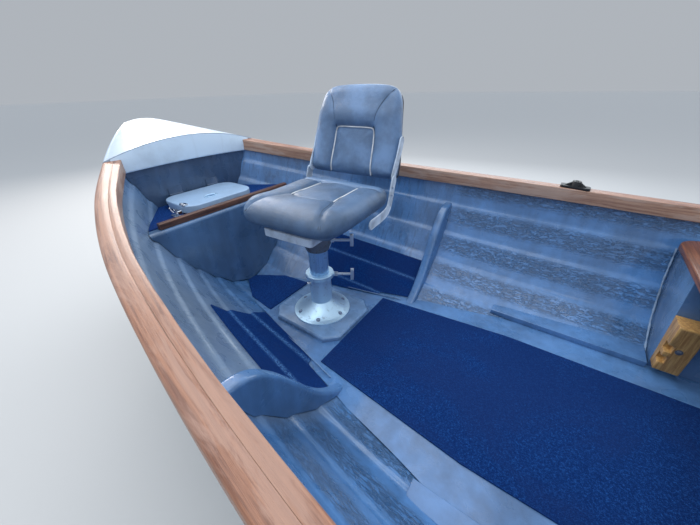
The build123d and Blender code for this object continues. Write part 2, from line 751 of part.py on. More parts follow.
def rowlocks():
    rail = nodes["outer_rail_port"]
    for index, x in enumerate(ROWLOCK_X):
        slab = rail & block(x - 0.5, x + 0.5, 300, 900, 300, 900)
        y = slab.bounding_box().min.Y + 4
        z_fore = top_of(rail, x + ROWLOCK_LONG / 2, slab.bounding_box().center().Y)
        z_aft = top_of(rail, x - ROWLOCK_LONG / 2, slab.bounding_box().center().Y)
        slope = math.degrees(math.atan2(z_fore - z_aft, ROWLOCK_LONG))
        plate = Pos(0, 0, 4) * Box(ROWLOCK_LONG, ROWLOCK_WIDE, 8)
        plate = fillet(plate.edges().filter_by(Axis.Z), 10)
        boss = Pos(0, 0, ROWLOCK_HIGH / 2) * Cylinder(ROWLOCK_BOSS, ROWLOCK_HIGH)
        web = prism_y([(-36, 8), (36, 8), (14, ROWLOCK_HIGH - 4), (-14, ROWLOCK_HIGH - 4)], -5, 5)
        socket = plate + boss + web - Pos(0, 0, ROWLOCK_HIGH / 2) * Cylinder(ROWLOCK_BORE, ROWLOCK_HIGH + 4)
        socket = Pos(x, y, (z_fore + z_aft) / 2 + 0.6) * Rot(0, -slope, 0) * socket
        place = ("fore", "aft")[index]
        seat_z = (z_fore + z_aft) / 2 + 0.6
        print("rowlock", place, [round(c, 2) for c in (x, y, seat_z)], "slope", round(slope, 3))
        keep("rowlock_" + place + "_port", socket)
        keep("rowlock_" + place + "_starboard", mirror_y(socket))


def bow_eye():
    """A towing lug through the stem, drilled across."""
    station = SECTIONS[-1]
    depth = math.dist((station[KEEL_X], station[KEEL_Z]), (station[SHEER_X], station[SHEER_Z]))
    base = in_space(station, 0, 0)
    rise = (in_space(station, 0, depth) - base).normalized()
    ahead = Vector(rise.Z, 0, -rise.X)
    foot = base + rise * ((EYE_Z - base.Z) / rise.Z) + ahead * NOSE
    centre = foot + ahead * (EYE_R + 2)
    plate = Plane(origin=foot, x_dir=(0, 1, 0), z_dir=ahead) * (Pos(0, 0, 2 + FIT) * Box(36, 76, 4))
    disc = Pos(*centre) * Rot(90, 0, 0) * Cylinder(EYE_R, EYE_THICK)
    neck = Plane(origin=foot, x_dir=(0, 1, 0), z_dir=ahead) * (Pos(0, 0, 12) * Box(EYE_THICK, 2 * EYE_R, 16))
    hole = Pos(*centre) * Rot(90, 0, 0) * Cylinder(EYE_BORE, 40)
    keep("bow_eye", plate + disc + neck - hole)
    return centre


# Pedestal

def at_pedestal(shape, rise=0.0):
    return Pos(PED_X, 0, PAD_TOP + rise) * shape


def clamp_screw(tube_r, z):
    """A T-handled screw that stands out of a tube's side."""
    reach = KNOB_REACH - tube_r
    rod = Pos(tube_r + reach / 2, 0, 0) * Rot(0, 90, 0) * Cylinder(KNOB_ROD, reach)
    nut = Pos(tube_r + 6, 0, 0) * Rot(0, 90, 0) * extrude(RegularPolygon(10, 6), amount=6, both=True)
    bar = Pos(KNOB_REACH, 0, 0) * Box(12, 15, KNOB_BAR)
    bar = fillet(bar.edges().filter_by(Axis.X), 5)
    return at_pedestal(Rot(0, 0, KNOB_TURN) * (rod + nut + bar), z)


def pedestal():
    pad = Box(PAD_X, PAD_Y, PAD_RISE)
    pad = chamfer(pad.edges().filter_by(Axis.Z), PAD_CORNER)
    pad = chamfer(pad.edges().group_by(Axis.Z)[-1], 6)
    keep("pedestal_pad", at_pedestal(pad, -PAD_RISE / 2))

    collar_low = COLLAR_TOP - COLLAR_THICK
    bore = POST_R + POST_FIT
    with BuildPart() as base:
        with BuildSketch(Plane.XZ):
            with BuildLine():
                Polyline((bore, 0), (FLANGE_R, 0), (FLANGE_R, FLANGE_THICK),
                         (FLANGE_R - 14, FLANGE_THICK + 3))
                ThreePointArc(
                    (FLANGE_R - 14, FLANGE_THICK + 3),
                    (TUBE_R + 24, BELL_HIGH * 0.62),
                    (TUBE_R + 4, BELL_HIGH),
                )
                Polyline(
                    (TUBE_R + 4, BELL_HIGH), (TUBE_R, BELL_HIGH + 4), (TUBE_R, collar_low),
                    (COLLAR_R, collar_low + 3), (COLLAR_R, COLLAR_TOP - 2), (COLLAR_R - 2, COLLAR_TOP),
                    (bore, COLLAR_TOP), (bore, 0),
                )
            make_face()
        revolve(axis=Axis.Z)
    holes = PolarLocations(FLANGE_PCD / 2, FLANGE_HOLES) * Cylinder(FLANGE_HOLE_R, 120)
    lug = Rot(0, 90, 0) * Cylinder(CLAMP_LUG_R, 4 * CLAMP_LUG_OUT)
    lug = Pos(COLLAR_R - CLAMP_LUG_OUT, 0, CLAMP_Z) * lug
    body = base.part - holes
    body += Rot(0, 0, KNOB_TURN) * lug
    body -= Pos(0, 0, COLLAR_TOP / 2) * Cylinder(bore, COLLAR_TOP + 2)
    keep("pedestal_base", at_pedestal(body))
    keep("base_clamp", clamp_screw(COLLAR_R + CLAMP_LUG_OUT + FIT, CLAMP_Z))

    flutes = PolarLocations(POST_R + 1.1, FLUTES) * Circle(FLUTE_R)
    ring = Circle(POST_R) - flutes - Circle(POST_R - POST_WALL)
    post = extrude(ring, amount=HOUSING_LOW + 20 - POST_FOOT)
    keep("pedestal_post", at_pedestal(post, POST_FOOT))

    with BuildPart() as housing:
        with BuildSketch(Plane.XZ):
            with BuildLine():
                Polyline(
                    (0, HOUSING_LOW + 20 + FIT), (POST_R + FIT, HOUSING_LOW + 20 + FIT),
                    (POST_R + FIT, HOUSING_LOW), (HOUSING_NECK + 3, HOUSING_LOW),
                    (HOUSING_NECK + 5, HOUSING_LOW + 8), (HOUSING_R, HOUSING_LOW + 20),
                    (HOUSING_R, HOUSING_TOP - 4), (HOUSING_R - 4, HOUSING_TOP),
                    (0, HOUSING_TOP), (0, HOUSING_LOW + 20 + FIT),
                )
            make_face()
        revolve(axis=Axis.Z)
    keep("swivel_housing", at_pedestal(housing.part))
    keep("swivel_clamp", clamp_screw(HOUSING_R + FIT, HOUSING_LOW + 36))


# Seat, in its own frame: +Y is where it faces, z from the pad

def at_seat(shape):
    return Pos(PED_X, 0, PAD_TOP) * Rot(0, 0, SEAT_TURN) * shape


SPIDER_Z = HOUSING_TOP + SWIVEL_GAP
PAN_Z = SPIDER_Z + SPIDER_THICK + HUB_RISE
BOARD_Z = PAN_Z + PAN_HIGH
CUSHION_Z = BOARD_Z + BOARD_THICK
CUSHION_TOP = CUSHION_Z + CUSHION_THICK
PIVOT_Z = CUSHION_TOP + FOLD_CLEAR + BACK_FRONT


def seat():
    spider = Pos(0, 0, SPIDER_Z + SPIDER_THICK / 2) * Cylinder(SPIDER_R, SPIDER_THICK)
    hub_high = BOARD_Z - PAN_SHEET - SPIDER_Z - SPIDER_THICK
    hub = Pos(0, 0, SPIDER_Z + SPIDER_THICK + hub_high / 2) * Cylinder(HUB_R, hub_high)
    keep("seat_swivel", at_seat(spider + hub))

    pan = block(-PAN_X / 2, PAN_X / 2, -PAN_Y / 2, PAN_Y / 2, PAN_Z, BOARD_Z)
    pan = fillet(pan.edges().filter_by(Axis.Z), 8)
    half_x = PAN_X / 2 - PAN_SHEET
    half_y = PAN_Y / 2 - PAN_SHEET
    inner = block(-half_x, half_x, -half_y, half_y, PAN_Z - 1, BOARD_Z - PAN_SHEET)
    keep("seat_pan", at_seat(pan - inner))

    half = SEAT_WIDE / 2 - BOARD_INSET
    board = block(-half, half, -SEAT_BACK + 2 * BOARD_INSET, SEAT_FRONT - BOARD_SHORT, BOARD_Z, CUSHION_Z)
    keep("seat_board", at_seat(fillet(board.edges().filter_by(Axis.Z), 34)))

    pad = block(-SEAT_WIDE / 2, SEAT_WIDE / 2, -SEAT_BACK, SEAT_FRONT, CUSHION_Z + FIT, CUSHION_TOP)
    pad = fillet(pad.edges().filter_by(Axis.Z), 42)
    pad = fillet(pad.edges().group_by(Axis.Z)[-1] + pad.edges().group_by(Axis.Z)[0], CUSHION_ROUND)
    keep("seat_cushion", at_seat(pad))


def back_frame(shape):
    """From the backrest's own frame, origin at the pivot and upright, to the seat's frame."""
    return Pos(0, PIVOT_Y, PIVOT_Z) * Rot(BACK_LEAN, 0, 0) * shape


def backrest():
    """Two seat brackets with their pins, two back arms, the back's shell and its cushion."""
    bracket_x = SEAT_WIDE / 2 - BOARD_INSET + FIT + ARM_SHEET / 2
    low_z = BOARD_Z - ARM_WIDE
    half_arm = ARM_WIDE / 2
    outline = [
        (-ARM_FOOT, CUSHION_Z - 1),
        (-ARM_FOOT, low_z + 6),
        (-ARM_FOOT - 14, low_z),
        (PIVOT_Y, low_z + 8),
        (PIVOT_Y - half_arm - 4, BOARD_Z),
        (PIVOT_Y - half_arm, PIVOT_Z),
        (PIVOT_Y - half_arm * 0.7, PIVOT_Z + half_arm * 0.7),
        (PIVOT_Y, PIVOT_Z + half_arm),
        (PIVOT_Y + half_arm * 0.7, PIVOT_Z + half_arm * 0.7),
        (PIVOT_Y + half_arm, PIVOT_Z),
        (PIVOT_Y + half_arm - 2, CUSHION_Z + 10),
        (PIVOT_Y + half_arm + 10, CUSHION_Z - 1),
    ]
    pin_long = 2 * ARM_SHEET + ARM_GAP
    plates = Part()
    for side in (-1, 1):
        x0 = side * bracket_x - ARM_SHEET / 2
        centre = side * (bracket_x + ARM_SHEET / 2 - pin_long / 2)
        pin = Pos(centre, PIVOT_Y, PIVOT_Z) * Rot(0, 90, 0) * Cylinder(PIVOT_R, pin_long)
        plates += prism_x(outline, x0, x0 + ARM_SHEET) + pin
    keep("seat_brackets", at_seat(plates))

    arm_x = bracket_x - ARM_SHEET - ARM_GAP
    arms = Part()
    for side in (-1, 1):
        x0 = side * arm_x - ARM_SHEET / 2
        bar = prism_x([(-11, -11), (0, -15), (11, -11), (14, 0), (11, ARM_TALL), (-11, ARM_TALL), (-14, 0)],
                      x0, x0 + ARM_SHEET)
        bar -= Pos(side * arm_x, 0, 0) * Rot(0, 90, 0) * Cylinder(PIVOT_R + FIT, 20)
        arms += bar
    keep("back_arms", at_seat(back_frame(arms)))

    low = CUSHION_TOP + BACK_CLEAR - PIVOT_Z
    half = arm_x - ARM_SHEET / 2 - FIT
    outline = [(-half, low), (half, low), (half, low + 60), (BACK_TOP_WIDE / 2, low + BACK_HIGH),
               (-BACK_TOP_WIDE / 2, low + BACK_HIGH), (-half, low + 60)]
    face = Plane.XZ.offset(-BACK_FRONT) * make_face(Polyline(outline, close=True))
    shell = extrude(face, amount=BACK_SHELL, dir=(0, -1, 0))
    shell = fillet(shell.edges().filter_by(Axis.Y).group_by(Axis.Z)[-1], 60)
    shell = fillet(shell.edges().filter_by(Axis.Y).group_by(Axis.Z)[0], 20)
    keep("back_shell", at_seat(back_frame(Pos(0, -BACK_THICK - FIT, 0) * shell)))
    pad = extrude(face, amount=BACK_THICK, dir=(0, -1, 0))
    pad = fillet(pad.edges().filter_by(Axis.Y).group_by(Axis.Z)[-1], 60)
    pad = fillet(pad.edges().filter_by(Axis.Y).group_by(Axis.Z)[0], 20)
    pad = fillet(pad.edges().group_by(Axis.Y)[-1], 18)
    keep("back_cushion", at_seat(back_frame(pad)))


shell()
transom()
keels()
rails()
deck()
stem()
bow_locker()
side_strips()
sole()
ribs()
mid_thwart()
stern_seat()
knees()
rowlocks()
EYE_CENTRE = bow_eye()
pedestal()
seat()
backrest()

# The boat is centred along its length on the frame's origin.
low_x = min(shape.bounding_box().min.X for shape in nodes.values())
high_x = max(shape.bounding_box().max.X for shape in nodes.values())
CENTRE = Pos(-(low_x + high_x) / 2, 0, 0)

for name, shape in nodes.items():
    placed = CENTRE * shape
    placed.label = name
    export_step(placed, "parts/" + name + ".step")

board = nodes["transom_board_aft"].faces().sort_by(Axis((0, 0, 0), transom_plane().z_dir))[-1]
print("outboard board", [round(c, 2) for c in board.center()], [round(c, 4) for c in transom_plane().z_dir])
print("length", round(high_x - low_x, 1), "shift", round(-(low_x + high_x) / 2, 3))
print("bow eye", [round(c, 2) for c in EYE_CENTRE])
print("pivot z", PAD_TOP + PIVOT_Z, "cushion top", PAD_TOP + CUSHION_TOP)
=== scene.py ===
import math

import bmesh
import bpy
import numpy as np
from mathutils import Matrix, Vector
from mathutils.bvhtree import BVHTree
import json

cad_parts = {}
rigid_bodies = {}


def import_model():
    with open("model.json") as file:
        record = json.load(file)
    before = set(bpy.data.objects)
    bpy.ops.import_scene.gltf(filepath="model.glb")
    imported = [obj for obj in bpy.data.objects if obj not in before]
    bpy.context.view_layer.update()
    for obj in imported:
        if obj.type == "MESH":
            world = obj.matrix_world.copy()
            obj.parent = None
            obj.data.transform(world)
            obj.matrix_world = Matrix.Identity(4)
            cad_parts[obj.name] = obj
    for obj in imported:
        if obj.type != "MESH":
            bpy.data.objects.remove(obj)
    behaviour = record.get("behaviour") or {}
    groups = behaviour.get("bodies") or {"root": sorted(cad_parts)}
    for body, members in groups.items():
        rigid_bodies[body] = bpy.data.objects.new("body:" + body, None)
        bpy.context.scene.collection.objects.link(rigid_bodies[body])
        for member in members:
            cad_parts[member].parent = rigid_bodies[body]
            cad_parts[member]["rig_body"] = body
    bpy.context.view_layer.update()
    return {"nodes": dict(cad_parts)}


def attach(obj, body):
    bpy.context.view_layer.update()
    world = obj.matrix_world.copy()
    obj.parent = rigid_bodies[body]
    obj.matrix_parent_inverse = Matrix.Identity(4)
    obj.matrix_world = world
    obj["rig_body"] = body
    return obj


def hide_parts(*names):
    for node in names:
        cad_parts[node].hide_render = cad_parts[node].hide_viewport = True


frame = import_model()

# A clinker-pattern fibreglass rowing boat with a pedestal seat. Metres, +X to the bow, +Y to port.
# Hull stations are in millimetres, as the boat's lines are drawn, before the boat is centred.
CENTRED = 10.441
KEEL_X, KEEL_Z, SHEER_X, SHEER_Y, SHEER_Z, FLOOR, SIDE = range(7)
STATIONS = np.array([
    (-2276, 85, -2351, 585, 592, 3.0, 1.50),
    (-1640, 56, -1670, 684, 562, 3.2, 1.50),
    (-876, 42, -876, 738, 542, 3.4, 1.50),
    (-76, 40, -56, 742, 536, 3.4, 1.50),
    (624, 41, 664, 682, 560, 3.2, 1.50),
    (1154, 45, 1264, 580, 591, 2.1, 1.50),
    (1504, 60, 1644, 463, 632, 1.85, 1.45),
    (1764, 96, 1961, 311, 683, 1.7, 1.40),
    (1924, 145, 2194, 170, 735, 1.5, 1.30),
    (2034, 205, 2334, 58, 775, 1.4, 1.20),
], float)
STEM_STATION = len(STATIONS) - 1
LIP_STATION = 7         # where the foredeck ends
STATION_ROWS = 22       # rows of the skin's grid between two stations
WALL = 8.0
STRAKES = 7
LAP = 8.0               # how far a strake's lower edge stands out on the outside
LAP_RUN = 12.0          # girth over which the skin's direction is taken
RELIEF = 9.5            # height of the moulded laps on the inside
RELIEF_RUN = 8.0        # girth over which such a lap steps out, to each side
NEAR_KEEL = 0.0016      # metres from the middle within which the inner face is levelled
RAIL_OUT, RAIL_IN = 26.0, 22.0
RAIL_DEPTH, RAIL_RISE = 50.0, 12.0
TRANSOM_RAKE = 0.148


# Materials

def paint_colour(red, green, blue):
    """A colour written as on a screen, 0 to 255, in the linear values that a shader wants."""
    def linear(c):
        c /= 255
        return c / 12.92 if c < 0.04045 else ((c + 0.055) / 1.055) ** 2.4
    return (linear(red), linear(green), linear(blue), 1.0)


def shade(colour, by, add=0):
    """A screen colour made darker or paler, in linear values."""
    return paint_colour(*(min(255, by * c + add) for c in colour))


class Value:
    """A shader socket that takes part in sums, so that a pattern is written as one expression."""

    def __init__(self, finish, socket):
        self.finish = finish
        self.socket = socket

    def math(self, operation, a, b):
        return self.finish.node("ShaderNodeMath", {"operation": operation}, {0: a, 1: b})

    def __add__(self, other):
        return self.math("ADD", self, other)

    def __mul__(self, other):
        return self.math("MULTIPLY", self, other)

    def __sub__(self, other):
        return self.math("SUBTRACT", self, other)

    def __rsub__(self, other):
        return self.math("SUBTRACT", other, self)

    __radd__ = __add__
    __rmul__ = __mul__

    def rise(self, start, end):
        """0 below start, 1 above end, and a smooth step between them; start may be the larger."""
        return self.finish.node("ShaderNodeMapRange", {"interpolation_type": "SMOOTHSTEP"},
                                {"Value": self, "From Min": start, "From Max": end})


class Finish:
    """One material. Its patterns are sums of Values, and set() feeds them to the shader."""

    def __init__(self, name, colour, rough=0.5, metal=0.0, coat=0.0, coat_rough=0.1):
        self.base = paint_colour(*colour)
        self.material = bpy.data.materials.new(name)
        self.material.use_nodes = True
        self.material.diffuse_color = self.base
        self.nodes = self.material.node_tree.nodes
        self.links = self.material.node_tree.links
        self.shader = self.nodes["Principled BSDF"]
        self.set("Base Color", self.base)
        self.set("Roughness", rough)
        self.set("Metallic", metal)
        self.set("Coat Weight", coat)
        self.set("Coat Roughness", coat_rough)
        self.cached = {}

    def feed(self, socket, value):
        if isinstance(value, Value):
            self.links.new(value.socket, socket)
        else:
            socket.default_value = value

    def set(self, socket, value):
        self.feed(self.shader.inputs[socket], value)

    def node(self, kind, settings=None, sockets=None, output=0):
        made = self.nodes.new(kind)
        for key, value in (settings or {}).items():
            setattr(made, key, value)
        for key, value in (sockets or {}).items():
            self.feed(made.inputs[key], value)
        return Value(self, made.outputs[output])

    def where(self, layer="Object"):
        if layer not in self.cached:
            self.cached[layer] = self.node("ShaderNodeTexCoord", output=layer)
        return self.cached[layer]

    def axis(self, letter):
        return self.node("ShaderNodeSeparateXYZ", sockets={0: self.where()}, output="XYZ".index(letter))

    def noise(self, scale, detail, rough, stretch=(1, 1, 1), warp=0.0, layer="Object"):
        place = self.node("ShaderNodeMapping", sockets={"Vector": self.where(layer), "Scale": stretch})
        return self.node("ShaderNodeTexNoise", sockets={
            "Vector": place, "Scale": scale, "Detail": detail, "Roughness": rough, "Distortion": warp})

    def cells(self, scale, feature):
        return self.node("ShaderNodeTexVoronoi", {"feature": feature},
                         {"Vector": self.where(), "Scale": scale})

    def mix(self, a, b, share):
        return self.node("ShaderNodeMix", {"data_type": "RGBA"}, {"Factor": share, 6: a, 7: b}, output=2)

    def attribute(self, name):
        return self.node("ShaderNodeAttribute", {"attribute_name": name}, output="Fac")

    def dressed(self, colour, rough, height, depth):
        """The finish with these patterns; depth is the height, in metres, that a value of 1 stands for."""
        self.set("Base Color", colour)
        self.set("Roughness", rough)
        self.set("Normal", self.node("ShaderNodeBump", sockets={
            "Strength": 1.0, "Distance": depth, "Height": height}))
        return self


def blue_paint(name, colour, mat=False):
    """Brushed blue-grey paint: rain streaks, brush lines and stipple.

    With mat, which is the hull, crinkled glass mat shows aft of the ribs where the attribute crinkle
    is 1, with painted shade in its hollows. Before them the brush lines are deeper and darker, and the
    port side is paler grey.
    """
    f = Finish(name, colour, rough=0.42, coat=0.5)
    cloud = f.noise(3.2, 4, 0.6)
    speck = f.noise(150, 2, 0.6)
    streak = f.noise(26, 3, 0.6, stretch=(1.0, 1.0, 0.12))
    tone = f.mix(shade(colour, 0.80), shade(colour, 1.12, 6), (0.7 * cloud + 0.3 * streak).rise(0.3, 0.72))
    tone = f.mix(tone, shade(colour, 0.62), f.noise(9, 5, 0.7).rise(0.62, 0.78) * 0.35)
    wet = f.noise(14, 3, 0.5, warp=0.4).rise(0.42, 0.62)
    brushed = f.noise(60, 3, 0.6, stretch=(0.35, 1, 1))
    height = 0.35 * f.noise(420, 2, 0.5) + 0.65 * brushed + 0.12 * speck
    if mat:
        aft = f.axis("X").rise(1.02, 0.9)
        band = f.attribute("crinkle")
        crinkle = f.noise(95, 4, 0.62, stretch=(0.42, 1, 1.5), warp=1.0).rise(0.42, 0.58)
        brush = f.noise(120, 2, 0.5, stretch=(1.0, 0.15, 0.15)) * (1 - aft)
        height = height + 1.7 * crinkle * band * aft + 1.1 * brush
        # Darker in the hollows of the crinkles aft, as painted shade, and along the raised brush lines
        # forward.
        shaded_hollows_and_streaks = band * aft * (1 - crinkle) + (1 - aft) * brush.rise(0.5, 0.7) * 0.6
        tone = f.mix(tone, shade(colour, 0.66), 0.7 * shaded_hollows_and_streaks)
        # Paler grey on the port side before the ribs.
        port_paling = f.axis("Y").rise(0.10, 0.45) * (1 - aft) * (0.45 + 0.4 * streak)
        tone = f.mix(tone, paint_colour(132, 146, 160), port_paling)
    return f.dressed(tone, 0.48 - 0.26 * wet, height, 0.0013)


def pale_gelcoat(name, colour, rough=0.33):
    """Weathered gelcoat: faint chalky clouds, fine scratches and a few grey runs."""
    f = Finish(name, colour, rough=rough, coat=0.3)
    cloud = f.noise(5, 5, 0.65)
    runs = f.noise(30, 3, 0.6, stretch=(1, 1, 0.08)).rise(0.6, 0.8) * 0.3
    tone = f.mix(f.base, shade(colour, 0.9), cloud.rise(0.4, 0.7))
    return f.dressed(f.mix(tone, shade(colour, 0.72), runs), rough + 0.22 * cloud.rise(0.35, 0.7),
                     0.6 * f.noise(240, 2, 0.5) + 0.4 * f.noise(34, 2, 0.5), 0.0005)


def oiled_wood(name, light, dark, grain, scale=5.0, worn=None, layer="Object"):
    """Straight-grained hardwood: long stretched figure and fine pores, with bleached varnish where worn."""
    f = Finish(name, light, rough=0.42, coat=0.25, coat_rough=0.18)
    figure = f.noise(scale, 5, 0.62, stretch=grain, warp=0.25, layer=layer)
    pores = f.noise(scale * 9, 2, 0.6, stretch=grain, layer=layer)
    tone = f.mix(paint_colour(*dark), f.base, (0.75 * figure + 0.25 * pores).rise(0.36, 0.62))
    gloss = 0.42 + 0.25 * pores.rise(0.5, 0.7)
    if worn:
        bare = f.noise(4.5, 5, 0.65, stretch=(1, 5, 5), warp=0.6, layer=layer).rise(0.44, 0.58)
        tone = f.mix(tone, f.mix(paint_colour(*worn), tone, 0.35 * pores), bare * 0.85)
        stain = f.noise(7, 5, 0.7, stretch=(0.5, 9, 9), warp=0.8, layer=layer).rise(0.60, 0.72)
        tone = f.mix(tone, paint_colour(92, 62, 56), stain * 0.7)
        gloss = 0.34 + 0.28 * bare + 0.12 * pores
    return f.dressed(tone, gloss, 0.6 * pores + 0.4 * figure, 0.0009)


def marine_carpet(name, colour, tips, ridges=False):
    """Short needled pile: dark roots, lighter fibre tips in specks, damp patches that lie flatter.

    With ridges, the pile is paler where the attribute ridge is 1, over the hull's laps: rubbed pile and
    a painted highlight on the crests.
    """
    f = Finish(name, colour, rough=0.95)
    f.set("Specular IOR Level", 0.12)
    pile = f.noise(620, 3, 0.75)
    tuft = f.cells(340, "F1")
    damp = f.noise(3.0, 5, 0.65, warp=0.5).rise(0.42, 0.62)
    specks = (0.6 * pile + 0.4 * f.noise(190, 3, 0.7)).rise(0.47, 0.66)
    tone = f.mix(f.base, paint_colour(*tips), specks * (0.9 - 0.55 * damp))
    if ridges:
        # Pale specks along the laps' crests: worn pile and a painted highlight.
        rubbed_and_lit = f.attribute("ridge") * f.noise(260, 3, 0.7).rise(0.42, 0.62)
        tone = f.mix(tone, paint_colour(96, 146, 200), 0.75 * rubbed_and_lit)
    return f.dressed(tone, 0.96 - 0.3 * damp, 0.6 * pile + 0.4 * tuft, 0.0028)


def cast_alloy(name, colour, rough=0.26, turned=True, metal=1.0):
    """Bright aluminium with dull oxide spots and, where it is turned, fine marks round it."""
    f = Finish(name, colour, rough=rough, metal=metal)
    rings = f.noise(40, 3, 0.7, stretch=(1, 1, 26 if turned else 1))
    spots = f.noise(70, 4, 0.7).rise(0.55, 0.72)
    return f.dressed(f.mix(f.base, shade(colour, 0.72), spots * 0.6), rough + 0.16 * rings + 0.22 * spots,
                     0.7 * rings + 0.3 * f.noise(300, 2, 0.5), 0.0003)


def weathered_steel(name, colour, rust, amount, rough=0.42, metal=0.85):
    """Plated steel with blooms of rust."""
    f = Finish(name, colour, rough=rough, metal=metal)
    bloom = f.noise(55, 6, 0.72, warp=0.5).rise(0.66 - amount, 0.74 - amount * 0.6)
    rusty = f.mix(paint_colour(*rust), shade(rust, 0.5), f.noise(180, 3, 0.7))
    f.set("Metallic", metal - metal * bloom)
    return f.dressed(f.mix(f.base, rusty, bloom), rough + 0.4 * bloom,
                     bloom + 0.4 * f.noise(260, 3, 0.6), 0.0006)


def seat_vinyl(name, colour):
    """Embossed vinyl: fine pebble grain and broad sheen changes; smoother where flap is 1, and painted paler
    there as a reflection of the sky.
    """
    f = Finish(name, colour, rough=0.4, coat=0.12, coat_rough=0.25)
    pebble = f.cells(520, "DISTANCE_TO_EDGE").rise(0.0, 0.25)
    tone = f.mix(shade(colour, 0.86), shade(colour, 1.08), f.noise(9, 4, 0.6).rise(0.35, 0.68))
    flap = f.attribute("flap")
    rough = 0.36 + 0.14 * f.noise(22, 4, 0.6).rise(0.4, 0.65)
    # On the rear flap the vinyl is paler: a painted reflection of the sky.
    return f.dressed(f.mix(tone, shade(colour, 1.12, 8), flap), rough,
                     0.8 * pebble * (1 - 0.7 * flap) + 0.2 * f.noise(900, 2, 0.5), 0.00035)


def moulded_plastic(name, colour, rough=0.45):
    f = Finish(name, colour, rough=rough)
    cloud = f.noise(18, 4, 0.6)
    return f.dressed(f.mix(f.base, shade(colour, 0.8), cloud.rise(0.4, 0.7)), rough + 0.15 * cloud,
                     f.noise(500, 2, 0.5), 0.0003)


paint_in = blue_paint("hull_paint_inside", (70, 116, 168), mat=True)
paint_parts = blue_paint("fittings_paint", (76, 117, 166))
paint_dark = blue_paint("locker_paint", (78, 112, 152))
paint_pad = blue_paint("pad_paint", (104, 138, 178))
# The bulkhead under the foredeck and the lid's hinges take a darker blue: painted shade of the recess.
painted_shade = blue_paint("bulkhead_painted_shade", (60, 84, 116))
gelcoat_out = pale_gelcoat("hull_gelcoat", (196, 206, 212))
gelcoat_deck = pale_gelcoat("deck_gelcoat", (214, 233, 250), rough=0.3)
gelcoat_top = pale_gelcoat("deck_top_gelcoat", (168, 186, 204), rough=0.36)
gelcoat_lid = pale_gelcoat("lid_gelcoat", (156, 184, 214), rough=0.38)
keel_paint = pale_gelcoat("keel_gelcoat", (170, 182, 190), rough=0.45)
ALONG_RAIL = (0.9, 34, 34)
wood_rail = oiled_wood("rail_hardwood", (158, 107, 79), (110, 67, 48), ALONG_RAIL, worn=(170, 134, 117),
                       layer="UV")
wood_face = oiled_wood("rail_inner_hardwood", (178, 142, 120), (136, 100, 82), ALONG_RAIL,
                       worn=(180, 156, 142), layer="UV")
wood_dark = oiled_wood("batten_wood", (112, 74, 56), (60, 38, 32), (40, 1.4, 40))
wood_plank = oiled_wood("thwart_wood", (132, 82, 56), (78, 44, 30), (34, 1.2, 34))
wood_block = oiled_wood("block_wood", (202, 160, 96), (158, 112, 60), (22, 22, 1.6), scale=7)
carpet_blue = marine_carpet("navy_carpet", (8, 42, 98), (38, 94, 170))
carpet_side = marine_carpet("side_navy_carpet", (5, 42, 100), (28, 86, 160), ridges=True)
# These alloys are tinted blue and only partly metal: painted reflections of the blue hull and the sky.
alloy = cast_alloy("pedestal_alloy", (200, 230, 250), rough=0.3, metal=0.7)
alloy_dull = cast_alloy("post_alloy", (160, 200, 236), rough=0.28, metal=0.72)
screw_steel = cast_alloy("screw_steel", (128, 144, 168), rough=0.35, turned=False, metal=0.6)
chrome = cast_alloy("chrome", (224, 226, 230), rough=0.1, turned=False)
clamp_steel = weathered_steel("clamp_steel", (190, 200, 214), (122, 88, 66), 0.03, metal=0.7)
housing_iron = weathered_steel("swivel_iron", (112, 120, 132), (104, 76, 60), 0.12, rough=0.5, metal=0.5)
vinyl = seat_vinyl("seat_vinyl", (76, 102, 134))
# The back cushion's vinyl is a paler copy of the seat's: painted light on the back.
vinyl_back_lit = seat_vinyl("seat_back_vinyl_lit", (97, 127, 165))
seat_metal = moulded_plastic("seat_arm_paint", (206, 220, 236), rough=0.4)
piping_white = moulded_plastic("white_piping", (226, 228, 230), rough=0.4)
thread_dark = moulded_plastic("seam_thread", (52, 60, 74), rough=0.6)
shell_plastic = moulded_plastic("seat_shell_plastic", (58, 64, 76), rough=0.5)
black_plastic = moulded_plastic("black_plastic", (24, 25, 28), rough=0.4)
sealant = moulded_plastic("sealant", (136, 160, 188), rough=0.5)


# Making meshes

SIDES = (("port", 1), ("starboard", -1))
HANDS = (("left", 1), ("right", -1))


def linked(made):
    bpy.context.scene.collection.objects.link(made)
    return made


def mesh_object(name, points, faces, body, finish, stands_for=(), slot=None, crease=None):
    """A mesh in the row frame, smooth except at edges sharper than crease degrees, that rides on a body."""
    mesh = bpy.data.meshes.new(name)
    mesh.from_pydata(np.asarray(points, float).reshape(-1, 3).tolist(), [], faces)
    made = linked(bpy.data.objects.new(name, mesh))
    for one in finish if isinstance(finish, list) else [finish]:
        mesh.materials.append(one.material)
    mesh.shade_smooth()
    if crease is not None:
        mesh.set_sharp_from_angle(angle=math.radians(crease))
    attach(made, body)
    if stands_for:
        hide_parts(*stands_for)
    return made


def point_values(made, name, values):
    """An attribute with one value for each point, which a finish reads."""
    layer = made.data.attributes.new(name, "FLOAT", "POINT")
    layer.data.foreach_set("value", values.astype(np.float32).reshape(-1))


def face_outwards(made):
    """Recalculates the normals of a closed mesh."""
    work = bmesh.new()
    work.from_mesh(made.data)
    bmesh.ops.recalc_face_normals(work, faces=work.faces)
    work.to_mesh(made.data)
    work.free()
    return made


def grid_faces(rows, columns, wrap=False, caps=False):
    """Four-sided faces of a grid whose points are counted row by row.

    With wrap, the last column is joined to the first; with caps, the first and last rows are closed.
    """
    index = np.arange(rows * columns).reshape(rows, columns)
    ends = [index[0].tolist()[::-1], index[-1].tolist()] if caps else []
    if wrap:
        index = np.concatenate([index, index[:, :1]], axis=1)
    faces = np.stack([index[:-1, :-1], index[:-1, 1:], index[1:, 1:], index[1:, :-1]], -1)
    return faces.reshape(-1, 4).tolist() + ends


